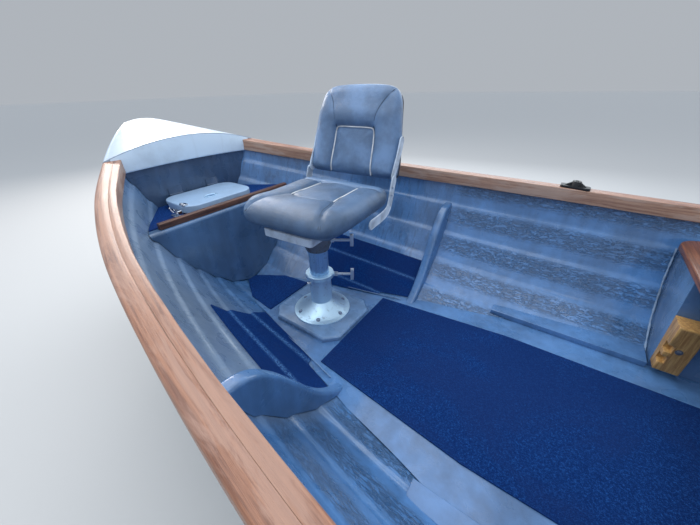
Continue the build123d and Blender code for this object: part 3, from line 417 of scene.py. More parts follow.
def grid_piece(name, points, body, finish, caps=True, uv=None, **more):
    """A tube-like surface of points[row, column], its columns joined round and its two ends closed.

    uv has one more column than the points, because the map is cut where the columns are joined.
    """
    faces = grid_faces(*points.shape[:2], wrap=True, caps=caps)
    made = mesh_object(name, points, faces, body, finish, **more)
    if uv is not None:
        corners = uv.reshape(-1, 2)[np.array(grid_faces(*uv.shape[:2])).reshape(-1)]
        whole = np.zeros((len(made.data.loops), 2), np.float32)
        whole[:len(corners)] = corners
        made.data.uv_layers.new(name="along").data.foreach_set("uv", whole.reshape(-1))
    return face_outwards(made)


def smooth_step(a, b, x):
    """0 below a, 1 above b, 3t^2 - 2t^3 between."""
    t = np.clip((x - a) / (b - a), 0, 1)
    return t * t * (3 - 2 * t)


def walk_along(line):
    """The length walked to each point of a polyline."""
    return np.concatenate([[0], np.cumsum(np.linalg.norm(np.diff(line, axis=0), axis=1))])


def even(line, count, closed=False):
    """A polyline's points laid evenly along it."""
    line = np.vstack([line, line[:1]]) if closed else np.asarray(line, float)
    walk = walk_along(line)
    places = np.linspace(0, walk[-1], count, endpoint=not closed)
    return np.stack([np.interp(places, walk, line[:, k]) for k in range(line.shape[1])], 1)


def at_height(plan, z):
    """Plan points given a height."""
    return np.column_stack([plan, np.full(len(plan), z)])


def tube_along(name, path, radius, body, finish, sides=10, closed=False, **more):
    """A round bar along a path: circles square to the path, turned so that none twists; radius may vary."""
    path = np.asarray(path, float)
    if closed:
        tangent = np.roll(path, -1, 0) - np.roll(path, 1, 0)
    else:
        tangent = np.gradient(path, axis=0)
    tangent /= np.linalg.norm(tangent, axis=1, keepdims=True)
    spread = tangent.max(0) - tangent.min(0) + np.abs(tangent).mean(0)
    side = np.cross(tangent, np.eye(3)[np.argmin(spread)])
    side /= np.linalg.norm(side, axis=1, keepdims=True)
    up = np.cross(side, tangent)
    turn = np.linspace(0, 2 * np.pi, sides, endpoint=False)[None, :, None]
    ring = np.cos(turn) * side[:, None] + np.sin(turn) * up[:, None]
    points = path[:, None] + np.broadcast_to(radius, len(path))[:, None, None] * ring
    if closed:
        points = np.concatenate([points, points[:1]])
    grid_piece(name, points, body, finish, caps=not closed, **more)


def bolt_head(name, place, axis, radius, high, body, finish):
    """A domed bolt head on a washer: pairs of radius and height turned about an axis through its place."""
    across = 0.86 * radius
    dome = [(across * math.sin(a), high * (0.62 + 0.38 * math.cos(a))) for a in np.radians([8, 35, 62, 90])]
    out, up = np.array([(0.0005, high), *dome, (across, high * 0.22), (radius * 1.3, high * 0.2),
                        (radius * 1.3, 0), (0.0005, 0)]).T[..., None]
    angle = np.linspace(0, 2 * np.pi, 24, endpoint=False)
    points = np.stack([out * np.cos(angle), out * np.sin(angle), up + 0 * angle], -1)
    turned = np.array(Vector((0, 0, 1)).rotation_difference(Vector(axis).normalized()).to_matrix())
    grid_piece(name, points @ turned.T + np.array(place), body, finish, crease=30)


def rounded_slab(name, lows, highs, corner, round_top, body, finish, place=np.asarray, **more):
    """A slab with round plan corners and eased upper and lower edges."""
    lows, highs = np.array(lows, float), np.array(highs, float)
    middle, half = (lows + highs) / 2, (highs - lows) / 2
    turn = np.radians(np.linspace(0, 90, 9))
    quarter = half[:2] - corner + corner * np.column_stack([np.cos(turn), np.sin(turn)])
    outline = np.concatenate([quarter, (quarter * [-1, 1])[::-1], -quarter, (quarter * [1, -1])[::-1]])
    inward = -np.sign(outline) * round_top
    arc = np.radians(np.linspace(0, 90, 5))
    rings = [(1 - math.sin(a), lows[2] + round_top * (1 - math.cos(a))) for a in arc]
    rings += [(1 - math.cos(a), highs[2] - round_top * (1 - math.sin(a))) for a in arc]
    points = np.array([at_height(outline + inset * inward, z) for inset, z in rings])
    points[..., :2] += middle[:2]
    grid_piece(name, place(points), body, finish, crease=40, **more)


def eased(node, finish, edge):
    """A merged copy of a CAD piece, shown in its stead, its corners eased by a bevel of this width."""
    source = frame["nodes"][node]
    mesh = source.data.copy()
    mesh.materials.clear()
    mesh.materials.append(finish.material)
    made = linked(bpy.data.objects.new(node + "_dressed", mesh))
    work = bmesh.new()
    work.from_mesh(mesh)
    bmesh.ops.remove_doubles(work, verts=work.verts, dist=2e-5)
    bmesh.ops.dissolve_limit(work, angle_limit=math.radians(0.6), verts=work.verts, edges=work.edges)
    work.to_mesh(mesh)
    work.free()
    mesh.shade_smooth()
    sharp = math.radians(30)
    if edge:
        bevel = made.modifiers.new("eased", "BEVEL")
        bevel.width = edge
        bevel.segments = 2
        bevel.limit_method = "ANGLE"
        bevel.angle_limit = sharp
        bevel.harden_normals = True
        bevel.use_clamp_overlap = True
    else:
        mesh.set_sharp_from_angle(angle=sharp)
    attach(made, source["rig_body"])
    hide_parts(node)


# The hull's lines

def stations_at(t):
    """Station values at t, counted in stations from the stern.

    Each column runs on cubic arcs between the stations, and its slope at a station, against the
    sheer's x, is that of the chord between the two stations beside it.
    """
    x = STATIONS[:, SHEER_X]
    ahead = np.minimum(np.arange(len(x)) + 1, len(x) - 1)
    behind = np.maximum(np.arange(len(x)) - 1, 0)
    slope = (STATIONS[ahead] - STATIONS[behind]) / (x[ahead] - x[behind])[:, None]
    j = np.clip(np.floor(t).astype(int), 0, len(x) - 2)
    f = (t - j)[:, None]
    run = (x[j + 1] - x[j])[:, None]
    return ((2 * f ** 3 - 3 * f ** 2 + 1) * STATIONS[j] + (3 * f ** 2 - 2 * f ** 3) * STATIONS[j + 1]
            + (f ** 3 - 2 * f ** 2 + f) * run * slope[j] + (f ** 3 - f ** 2) * run * slope[j + 1])


FINE_T = np.linspace(0, STEM_STATION, 1801)
FINE = stations_at(FINE_T)


def station_of_x(x_mm):
    """The station parameter at which the sheer has this x, before centring."""
    return np.interp(x_mm, FINE[:, SHEER_X], FINE_T)


def row_metres(x, y, z):
    """Points of the row frame, in metres, from millimetres before centring; the three may be broadcast."""
    return np.stack(np.broadcast_arrays(x + CENTRED, y, z), -1) / 1000


def hull_points(t, shares, outward):
    """Points of the hull's port side, in metres: points[station, share], and the girth walked to each.

    A section lies in the plane through its keel point and its sheer point, with v along the line
    between them: (y / breadth)^floor + (1 - v / depth)^side = 1. A share is a share of its girth, and
    outward moves a point square to the curve, in millimetres.
    """
    rows = stations_at(t)
    rake = (rows[:, SHEER_X] - rows[:, KEEL_X])[:, None]
    rise = (rows[:, SHEER_Z] - rows[:, KEEL_Z])[:, None]
    depth = np.hypot(rake, rise)
    turn = np.linspace(0, np.pi / 2, 241)
    y = rows[:, SHEER_Y, None] * np.sin(turn) ** (2 / rows[:, FLOOR, None])
    v = depth * (1 - np.maximum(np.cos(turn), 0) ** (2 / rows[:, SIDE, None]))
    walked = np.concatenate([np.zeros((len(rows), 1)), np.cumsum(np.hypot(np.diff(y), np.diff(v)), 1)], 1)
    want = shares[None, :] * walked[:, -1:]

    def along(values, places):
        return np.array([np.interp(p, w, row) for p, w, row in zip(places, walked, values)])

    before = np.maximum(want - LAP_RUN, 0)
    after = np.minimum(want + LAP_RUN, walked[:, -1:])
    dy = along(y, after) - along(y, before)
    dv = along(v, after) - along(v, before)
    size = np.hypot(dy, dv)
    side_y = np.where(shares == 0, 0.0, along(y, want) + outward * dv / size)
    up = (along(v, want) - outward * dy / size) / depth
    return row_metres(rows[:, KEEL_X, None] + rake * up, side_y, rows[:, KEEL_Z, None] + rise * up), want


def stem_fade(t):
    """1 along the hull, falling to 0 over the last half station, where the laps die into the stem."""
    return np.clip((STEM_STATION - t) / 0.5, 0, 1)[:, None]


def inside_profile(t, shares):
    """How far the moulded laps push the inner face outward, at stations t and girth shares.

    Above each lap line the face steps out over a softened run, then comes back to the next line,
    a little full on the way. The laps are softer aft of the ribs and die away into the stem.
    """
    rows = stations_at(t)
    girth = 1.25 * rows[:, SHEER_Y, None]
    strake = shares[None, :] * STRAKES
    line = np.round(strake)
    from_line = (strake - line) * girth / STRAKES
    to_next = np.where(strake < 1, 0.0, 1 - (strake - np.floor(strake)))
    over = np.where(from_line >= 0, to_next, 1.0)
    under = np.where(from_line < 0, to_next, 0.0)
    shape = under + (over - under) * smooth_step(-RELIEF_RUN, RELIEF_RUN, from_line)
    shape = np.where((line == 0) | (line == STRAKES), to_next, shape)
    full = 1.8 * np.sin(np.pi * (strake - np.floor(strake))) * (strake > 1)
    soft = 0.5 + 0.5 * smooth_step(900, 1040, rows[:, SHEER_X])[:, None]
    return (RELIEF * soft * shape - full) * stem_fade(t)


def hull_skin():
    """Both faces of the laminate and its rim as one closed grid.

    A row goes from the port sheer down the outside, under the keel and up to starboard, then back
    inside. The outside's strakes lap over each other: each is pushed out by LAP at its lower edge.
    """
    t = np.linspace(0, STEM_STATION, STATION_ROWS * STEM_STATION + 1)
    fall = np.linspace(0, 1, 6)
    out_share = np.concatenate([(strake + fall) / STRAKES for strake in range(STRAKES)])
    out_lap = np.concatenate([(LAP if strake else 0) * (1 - fall) for strake in range(STRAKES)])
    outer, out_walk = hull_points(t, out_share, out_lap * stem_fade(t))

    in_share = np.linspace(0, 1, 20 * STRAKES + 1)
    inner, in_walk = hull_points(t, in_share, inside_profile(t, in_share) - WALL)
    first = np.argmax(inner[..., 1] > NEAR_KEEL, axis=1)
    level = inner[np.arange(len(t)), first]
    low_part = np.arange(len(in_share)) < first[:, None]
    inner[..., 1] = np.where(low_part, np.maximum(inner[..., 1], 0) * (in_share > 0), inner[..., 1])
    for axis in (0, 2):
        inner[..., axis] = np.where(low_part, level[:, axis, None], inner[..., axis])
    inner[:, 0, 2] = np.maximum(inner[:, 0, 2], outer[:, 0, 2] + WALL / 1000)

    mirror = np.array([1, -1, 1])
    ring = np.concatenate([outer[:, ::-1], outer[:, 1:] * mirror, inner[:, ::-1] * mirror, inner[:, 1:]], 1)
    walk = np.concatenate([out_walk[:, ::-1], out_walk[:, 1:], in_walk[:, ::-1], in_walk[:, 1:],
                           out_walk[:, -1:]], 1)
    length = FINE[np.searchsorted(FINE_T, t - 1e-9), SHEER_X]
    uv = np.stack(np.broadcast_arrays(length[:, None], walk), -1) / 1000
    hull = grid_piece("hull_skin", ring, "hull", [gelcoat_out, paint_in], uv=uv, stands_for=["hull_shell"],
                      slot="hull_grp")
    outside = 2 * len(out_share) - 1
    material = np.zeros(len(hull.data.polygons), np.int32)
    material[:-2] = np.tile(np.arange(ring.shape[1]) >= outside - 1, len(t) - 1)
    hull.data.polygons.foreach_set("material_index", material)
    strake = in_share * STRAKES
    part_up = strake - np.floor(strake)
    band = smooth_step(0.25, 0.45, part_up) * (1 - smooth_step(0.8, 0.98, part_up)) * (strake > 2)
    point_values(hull, "crinkle", np.tile(np.concatenate([np.zeros(outside), band[::-1], band[1:]]), len(t)))
    hull.data.set_sharp_from_angle(angle=math.radians(32))


hull_skin()


# Rails

def sheer_at(t):
    """Sheer x, half-breadth, height, and how much wider along Y a strip is than square to the sheer."""
    rows = stations_at(t)
    ahead = stations_at(np.minimum(t + 0.25, STEM_STATION))
    behind = stations_at(np.maximum(t - 0.25, 0))
    dx = ahead[:, SHEER_X] - behind[:, SHEER_X]
    slant = np.hypot(dx, ahead[:, SHEER_Y] - behind[:, SHEER_Y]) / dx
    return rows[:, SHEER_X], rows[:, SHEER_Y], rows[:, SHEER_Z], slant


def round_corners(width, height, radii):
    """Outline (across, up) of a rectangle whose corners, from the low inner one round, have these radii."""
    corners = [(0, 0, 180), (width, 0, 270), (width, height, 0), (0, height, 90)]
    points = []
    for (cx, cy, start), radius in zip(corners, radii):
        middle = [cx + radius * (1 if cx == 0 else -1), cy + radius * (1 if cy == 0 else -1)]
        turn = np.radians(start + np.linspace(0, 90, 5))
        points.append(middle + radius * np.stack([np.cos(turn), np.sin(turn)], 1))
    return np.concatenate(points)


def rail(name, inner, outer, radii, finish, side, wander):
    """A rounded bar along the sheer, its outline in planes square to X and wider where the sheer slants.

    Its inner and lower faces wander by two sines of the length, as worn timber does.
    """
    last = station_of_x(STATIONS[LIP_STATION, SHEER_X] - 0.2)
    x, y, z, slant = (column[:, None] for column in sheer_at(np.linspace(0, last, 420)))
    outline = round_corners(outer - inner, RAIL_DEPTH, radii)
    length = walk_along(np.hstack([x, y]))[:, None]
    wave = wander * (np.sin(length / 61 + inner) + np.sin(length / 23.7) * 0.5)
    middle = (outline - outline.mean(0)) / np.abs(outline - outline.mean(0)).max(0)
    yy = y + (inner + outline[:, 0] + wave * np.minimum(middle[:, 0], 0)) * slant
    up = z + RAIL_RISE - RAIL_DEPTH + outline[:, 1] + 0.5 * wave * np.minimum(middle[:, 1], 0)
    raked = TRANSOM_RAKE * (z - up) * np.clip(1 - (x - x[0]) / 80, 0, 1)
    girth = walk_along(np.vstack([outline, outline[:1]])) / 1000 + 0.3 * side + 0.01 * inner
    uv = np.stack(np.broadcast_arrays(length / 1000, girth), -1)
    made = grid_piece(name + "_timber", row_metres(x + raked, side * yy, up), "hull", finish, uv=uv,
                      stands_for=[name], slot="rail_wood", crease=50)
    upward = np.zeros(3 * len(made.data.polygons), np.float32)
    made.data.polygons.foreach_get("normal", upward)
    beside = (upward[2::3] < 0.6).astype(np.int32)
    made.data.polygons.foreach_set("material_index", beside * (len(finish) - 1))


for word, side in SIDES:
    rail("outer_rail_" + word, -WALL - 0.3, RAIL_OUT, (1.5, 7, 8, 0.6), [wood_rail], side, 0.0)
    rail("inner_rail_" + word, -WALL - RAIL_IN, -WALL - 0.5, (3.5, 1.5, 0.6, 3.0), [wood_rail, wood_face],
         side, 0.4)


# Foredeck

DECK_CROWN = 56.0
DECK_TIP_X, DECK_TIP_HALF = 2372.0, 31.2
DECK_ROLL = 13.0        # radius of the deck's rolled edge
DECK_THICK = 0.006
DECK_ROWS, NOSE_ROWS, DECK_COLUMNS, LIP_ROWS = 70, 14, 61, 14
LIP_FORE = STATIONS[LIP_STATION, SHEER_X]
LIP_BOTTOM, LIP_ARCH = 645.0, 9.0


def foredeck():
    """Arched skin from the lip to the stem, its edge rolled over on each side and turned down.

    Across the deck the height is edge + crown * (1 - (y / half)^2), with the shoulder rounded by an
    arc; the half-breadth follows the sheer and closes in an ellipse at the tip. Gives the edge's
    height and the half-breadth at the lip.
    """
    last = STATIONS[STEM_STATION, SHEER_X]
    nose = last + (DECK_TIP_X - last) * np.sin(np.linspace(0, np.pi / 2, NOSE_ROWS))[1:]
    x = np.concatenate([np.linspace(LIP_FORE, last, DECK_ROWS), nose])[:, None]
    t = station_of_x(np.minimum(x[:, 0], last))
    _, sheer_y, sheer_z, slant = (column[:, None] for column in sheer_at(t))
    past = np.clip((x - last) / (DECK_TIP_X - last), 0, 1)
    half = sheer_y + RAIL_OUT * np.minimum(slant, 1.35)
    half = np.where(x > last, half[DECK_ROWS - 1] * (1 - past) + DECK_TIP_HALF * past, half)
    half *= np.sqrt(np.clip(1 - np.clip((x - (DECK_TIP_X - 26)) / 27.0, 0, 1) ** 2, 0.02, 1))
    crown = DECK_CROWN * (sheer_y / STATIONS[LIP_STATION, SHEER_Y]) ** 0.8
    crown = np.where(x > last, crown[DECK_ROWS - 1] * (1 - past) + 4 * past, crown)
    edge = sheer_z + RAIL_RISE + 8 * past

    y = (half - DECK_ROLL) * np.linspace(-1, 1, DECK_COLUMNS)
    top = edge + crown * (1 - (y / half) ** 2)
    turn = np.radians(np.linspace(90, 0, 8))[1:]
    arc_y = half - DECK_ROLL + DECK_ROLL * np.cos(turn)
    arc_z = top[:, -1:] - DECK_ROLL + DECK_ROLL * np.sin(turn)
    skirt_z = arc_z[:, -1:] - np.linspace(0, 1, 5)[1:] * (arc_z[:, -1:] - (edge - RAIL_DEPTH))
    side_y = np.hstack([arc_y, np.broadcast_to(half, skirt_z.shape)])
    side_z = np.hstack([arc_z, skirt_z])
    front = row_metres(x, np.hstack([-side_y[:, ::-1], y, side_y]),
                       np.hstack([side_z[:, ::-1], top, side_z]))
    under = front.copy()
    under[:, 1:-1, 2] -= DECK_THICK
    reach = np.abs(front[..., 1])
    on_skirt = reach > half / 1000 - 0.014
    under[..., 1] = np.sign(front[..., 1]) * np.maximum(reach - DECK_THICK * on_skirt, 0)
    grid_piece("foredeck_moulding", np.concatenate([front, under[:, ::-1]], 1), "hull", gelcoat_top,
               stands_for=["foredeck"], slot="hull_grp", crease=40)
    return edge[0, 0], half[0, 0]


def foredeck_lip(edge, half):
    """The deck's aft face, slightly bulged under the crown, with a round hem along its arched foot."""
    across = np.linspace(-1, 1, DECK_COLUMNS)[:, None]
    y = (STATIONS[LIP_STATION, SHEER_Y] + 2) * across
    crest = edge + DECK_CROWN * (1 - (y / half) ** 2) - 3.5
    bottom = LIP_BOTTOM + LIP_ARCH * (1 - across ** 2)
    up = np.linspace(0, 1, LIP_ROWS)
    face_z = bottom + up * (crest - bottom)
    hem = np.radians(np.linspace(180, 360, 8))[1:-1]
    bulge = 0.5 + 2.0 * np.sin(np.pi * up)
    xs = np.concatenate([-bulge[::-1], 6.0 + 6.5 * np.cos(hem), np.full(LIP_ROWS, 12.5)])
    zs = np.hstack([face_z[:, ::-1], bottom + 5.0 * np.sin(hem), face_z])
    grid_piece("foredeck_lip", row_metres(LIP_FORE + xs, y, zs), "hull", gelcoat_deck, slot="hull_grp",
               crease=50)


foredeck_lip(*foredeck())


# CAD pieces that keep their shape and get eased corners and a finish

EASED = [
    ("stem", gelcoat_out, 0.003), ("transom", paint_parts, 0.004),
    ("transom_board_aft transom_board_fore", wood_plank, 0.004),
    ("keel bilge_runner_port bilge_runner_starboard", keel_paint, 0.003),
    ("bow_locker", paint_dark, 0.0), ("bow_bulkhead", painted_shade, 0.0),
    ("hatch_coaming", gelcoat_lid, 0.0015), ("locker_lid", gelcoat_lid, 0.0),
    ("locker_batten", wood_dark, 0.001), ("lid_hinges", painted_shade, 0.0006),
    ("side_strip_port side_strip_starboard", paint_parts, 0.003), ("sole", paint_parts, 0.0),
    ("locker_carpet bow_carpet", carpet_blue, 0.0), ("main_carpet", carpet_blue, 0.001),
    ("rib_port rib_starboard", paint_parts, 0.0),
    ("thwart_pod_port thwart_pod_starboard", paint_dark, 0.004),
    ("thwart_block", wood_block, 0.0015), ("stern_seat", paint_parts, 0.0),
    ("stern_seat_board quarter_knee_port quarter_knee_starboard", wood_plank, 0.002),
    ("rowlock_fore_port rowlock_fore_starboard rowlock_aft_port rowlock_aft_starboard", black_plastic, 0.001),
    ("bow_eye", chrome, 0.001), ("pedestal_pad", paint_pad, 0.002), ("pedestal_base", alloy, 0.0),
    ("base_clamp", clamp_steel, 0.0006), ("pedestal_post", alloy_dull, 0.0),
    ("swivel_housing", housing_iron, 0.001), ("swivel_clamp", clamp_steel, 0.0006),
    ("seat_swivel", housing_iron, 0.001), ("back_shell", shell_plastic, 0.003),
]
for nodes, finish, edge in EASED:
    for node in nodes.split():
        eased(node, finish, edge)


# Carpet on the turn of the bilge, trim and sealant

CARPET_FORE, CARPET_AFT = 1.452, 1.0004
CARPET_LOW, CARPET_SHARE = 0.1035, 0.535
TRIM_LINE = [(1.452, 0.161), (1.32, 0.187), (1.199, 0.208), (1.10, 0.231), (1.02, 0.250)]
TRIM_HEIGHT = 0.1052
POD_FACE = 0.1794
CORD_POINTS = 60


def side_carpet(word, side):
    """Carpet glued to the turn of the bilge: the hull's inner face and its laps, moved in by the pile.

    Each girth share is read at even steps of X from the rib to the straight cut athwart, then each
    row runs in even steps from the height of the sole's carpet up to the top share.
    """
    t = station_of_x(np.linspace(CARPET_AFT - 0.16, CARPET_FORE + 0.16, 90) * 1000 - CENTRED)
    shares = np.linspace(0.02, CARPET_SHARE + 0.01, 130)
    laps = inside_profile(t, shares)
    xs = np.linspace(CARPET_AFT, CARPET_FORE, 110)
    faces = []
    for pile in (0.6, 5.0):
        skin, _ = hull_points(t, shares, laps - WALL - pile)
        rows = np.array([[np.interp(xs, line[:, 0], line[:, axis]) for axis in (1, 2)]
                         for line in np.swapaxes(skin, 0, 1)]).transpose(2, 0, 1)
        low_share = np.array([[np.interp(CARPET_LOW, row[:, 1], shares)] for row in rows])
        want = low_share + np.linspace(0, 1, 96) * (CARPET_SHARE - low_share)
        y, z = (np.array([np.interp(w, shares, row[:, axis]) for w, row in zip(want, rows)])
                for axis in (0, 1))
        faces.append(np.stack([np.broadcast_to(xs[:, None], want.shape), side * y, z], -1))
    ring = np.concatenate([faces[0], faces[1][:, ::-1]], 1)
    made = grid_piece("side_carpet_pile_" + word, ring, "hull", carpet_side,
                      stands_for=["side_carpet_" + word], slot="carpet", crease=60)
    off_line = want * STRAKES - np.round(want * STRAKES)
    pale = np.exp(-(off_line / 0.05) ** 2)
    point_values(made, "ridge", np.concatenate([pale, pale[:, ::-1]], 1))


def sole_trim(word, side):
    line = even(TRIM_LINE, CORD_POINTS) * [1, side]
    tube_along("sole_trim_" + word, at_height(line, TRIM_HEIGHT), 0.0020, "hull", paint_pad, sides=8)


def pod_sealant(word, side):
    """A bead of uneven thickness where the thwart's pod meets the hull."""
    t = station_of_x(np.array([POD_FACE * 1000 - CENTRED]))
    shares = np.linspace(0.05, 0.95, 300)
    skin, _ = hull_points(t, shares, inside_profile(t, shares) - WALL - 2.0)
    heights = np.linspace(0.112, 0.405, CORD_POINTS)
    y = side * np.interp(heights, skin[0, :, 2], skin[0, :, 1])
    bead = np.column_stack([np.full(CORD_POINTS, POD_FACE + 0.0041), y, heights])
    thick = 0.0030 + 0.0006 * np.sin(heights * 130 + side) + 0.0004 * np.sin(heights * 310)
    tube_along("pod_sealant_" + word, bead, thick, "hull", sealant)


for word, side in SIDES:
    side_carpet(word, side)
for word, side in SIDES:
    sole_trim(word, side)
    pod_sealant(word, side)


# Bolts, the hatch's latch and fitting, and the mid thwart

PEDESTAL = np.array([1.249 + CENTRED / 1000, 0.0, 0.120])
FLANGE_RING = 0.094
TUBE_RADIUS = 0.0430
BOLT_ANGLE = math.radians(64)
BOLT_HEIGHT = 0.138
LID_OVAL = np.array([1.825, 0.045])


def round_about(angle, radius, height):
    """A point beside the pedestal, and the level direction from it."""
    away = np.array([math.cos(angle), math.sin(angle), 0])
    return PEDESTAL + radius * away + [0, 0, height], away


for index in range(6):
    spot, away = round_about(index * math.pi / 3, FLANGE_RING, 0.0112)
    bolt_head("flange_screw_%d" % (index + 1), spot, 0.42 * away + [0, 0, 0.91], 0.0064, 0.0052, "hull",
              screw_steel)
spot, away = round_about(BOLT_ANGLE, TUBE_RADIUS, BOLT_HEIGHT)
bolt_head("tube_bolt", spot, away, 0.0062, 0.0130, "hull", chrome)
for word, side in SIDES:
    bolt_head("block_bolt_" + word, (0.150, side * 0.3458, 0.214), (0, -side, 0), 0.0070, 0.0040, "hull",
              housing_iron)

rounded_slab("latch_foot", (1.780, 0.1965, 0.4803), (1.838, 0.2270, 0.4843), 0.006, 0.001, "hull", chrome)
rounded_slab("latch_body", (1.788, 0.1990, 0.4843), (1.830, 0.2170, 0.5050), 0.004, 0.002, "hull", chrome)
tube_along("latch_lever", [(1.793, 0.213, 0.492), (1.792, 0.223, 0.502), (1.796, 0.228, 0.516),
                           (1.809, 0.229, 0.520), (1.822, 0.228, 0.516), (1.826, 0.223, 0.502),
                           (1.825, 0.213, 0.492)], 0.0028, "hull", chrome)
rounded_slab("latch_catch", (1.792, 0.1640, 0.5166), (1.826, 0.1885, 0.5196), 0.004, 0.001, "lid", chrome)
tube_along("latch_hook", [(1.799, 0.176, 0.5205), (1.799, 0.186, 0.5240), (1.809, 0.1880, 0.5245),
                          (1.819, 0.186, 0.5240), (1.819, 0.176, 0.5205)], 0.0020, "lid", chrome, sides=8)
turn = np.linspace(0, 2 * np.pi, 48, endpoint=False)
oval = LID_OVAL + np.column_stack([0.0165 * np.cos(turn), 0.028 * np.sin(turn)])
tube_along("lid_fitting_rim", at_height(oval, 0.5178), 0.0016, "lid", alloy, sides=8, closed=True)
rounded_slab("lid_fitting", (*LID_OVAL - [0.0155, 0.0265], 0.5166), (*LID_OVAL + [0.0155, 0.0265], 0.5180),
             0.0154, 0.0006, "lid", paint_pad)
rounded_slab("thwart_plank", (-0.1366, -0.694, 0.422), (0.1954, 0.694, 0.446), 0.062, 0.006, "hull",
             wood_plank, stands_for=["mid_thwart"], slot="dark_wood")


# The seat's own frames

SEAT_TURN = math.radians(4.0)
PIVOT = np.array([0.0, -0.242, 0.5129])
BACK_LEAN = math.radians(16.0)


def seat_place(points):
    """From the seat's own frame (+Y is where it faces, z from the pad) to the row frame."""
    c, s = math.cos(SEAT_TURN), math.sin(SEAT_TURN)
    return np.asarray(points, float) @ np.array([[c, -s, 0], [s, c, 0], [0, 0, 1]]).T + PEDESTAL


def back_place(points):
    """From the backrest's frame, origin at its pivot and upright, to the row frame."""
    c, s = math.cos(BACK_LEAN), math.sin(BACK_LEAN)
    return seat_place(np.asarray(points, float) @ np.array([[1, 0, 0], [0, c, -s], [0, s, c]]).T + PIVOT)


# Cushions: crowned shells, blown up as cloth between their seams

CUSHION_LOW, CUSHION_TOP = 0.4117, 0.4954
SEAT_HALF, SEAT_FORE, SEAT_AFT = 0.193, 0.188, 0.215
BACK_FACE, BACK_THICK, BACK_HALF = 0.012, 0.062, 0.194
BACK_BOTTOM, BACK_TOP = -0.0115, 0.3150
BACK_SHIFT = 0.010
FACE_RINGS = 25         # rings between a face's middle and its rim
BLOW_FRAMES = 20
MOST_BLOWN = 0.009      # the farthest that the cloth may move a point
CLOTH = {"quality": 5, "mass": 0.2, "tension_stiffness": 12, "compression_stiffness": 12,
         "shear_stiffness": 6, "bending_stiffness": 0.6, "use_pressure": True,
         "uniform_pressure_force": 4.0, "vertex_group_mass": "held"}


def softened(line, rounds=3, closed=False):
    """Chaikin's corner cutting: a corner gives way to points a quarter and three quarters along its edges."""
    line = np.asarray(line, float)
    for _ in range(rounds):
        after = np.roll(line, -1, 0) if closed else line[1:]
        start = line if closed else line[:-1]
        cut = np.stack([0.75 * start + 0.25 * after, 0.25 * start + 0.75 * after], 1)
        cut = cut.reshape(-1, line.shape[1])
        line = cut if closed else np.vstack([line[:1], cut, line[-1:]])
    return line


def to_lines(points, lines):
    """Distance in plan from each point to the nearest of several polylines."""
    best = np.full(len(points), 9.0)
    for line in lines:
        a, b = line[:-1], line[1:]
        along = b - a
        from_a = points[:, None, :2] - a
        share = (from_a * along).sum(2) / np.maximum((along ** 2).sum(1), 1e-12)
        near = a + np.clip(share, 0, 1)[..., None] * along
        best = np.minimum(best, np.linalg.norm(points[:, None, :2] - near, axis=2).min(1))
    return best


def valley(distance, depth, width):
    """depth * exp(-(distance / width)^2)"""
    return depth * np.exp(-(distance / width) ** 2)


def pillow(outline, low, high, under, over):
    """A closed stuffed form over a plan outline: grid points (across, along, thickness).

    A quarter ellipse (inset, rise) curves up from the lower face, another down from the upper one;
    each ring is the outline drawn in square to itself. The faces run on to the middle.
    """
    arc = np.radians(np.linspace(0, 90, 9))
    side = [(under[0] * (1 - math.sin(a)), low + under[1] * (1 - math.cos(a))) for a in arc]
    side += [(over[0] * (1 - math.cos(a)), high - over[1] * (1 - math.sin(a))) for a in arc]
    middle = outline.mean(0)
    tangent = np.roll(outline, -1, 0) - np.roll(outline, 1, 0)
    normal = np.stack([-tangent[:, 1], tangent[:, 0]], 1)
    normal /= np.linalg.norm(normal, axis=1, keepdims=True)
    normal *= np.sign(((middle - outline) * normal).sum(1).mean())

    def face(inset, shares):
        rim = outline + inset * normal - middle
        return [middle + share * rim for share in shares]

    plans = face(side[0][0], np.linspace(0.02, 1, FACE_RINGS + 1)[:-1])
    plans += [outline + inset * normal for inset, _ in side]
    plans += face(side[-1][0], np.linspace(1, 0.02, FACE_RINGS + 1)[1:])
    heights = [low] * FACE_RINGS + [z for _, z in side] + [high] * FACE_RINGS
    return np.array([at_height(plan, z) for plan, z in zip(plans, heights)])


def read_mesh(made):
    """The points and faces of an object with its modifiers worked out."""
    shown = made.evaluated_get(bpy.context.evaluated_depsgraph_get())
    mesh = shown.to_mesh()
    points = np.zeros(3 * len(mesh.vertices))
    mesh.vertices.foreach_get("co", points)
    faces = [tuple(face.vertices) for face in mesh.polygons]
    shown.to_mesh_clear()
    return points.reshape(-1, 3), faces


def loose_object(points, faces):
    mesh = bpy.data.meshes.new("work")
    mesh.from_pydata(np.asarray(points).tolist(), [], faces)
    return linked(bpy.data.objects.new("work", mesh))


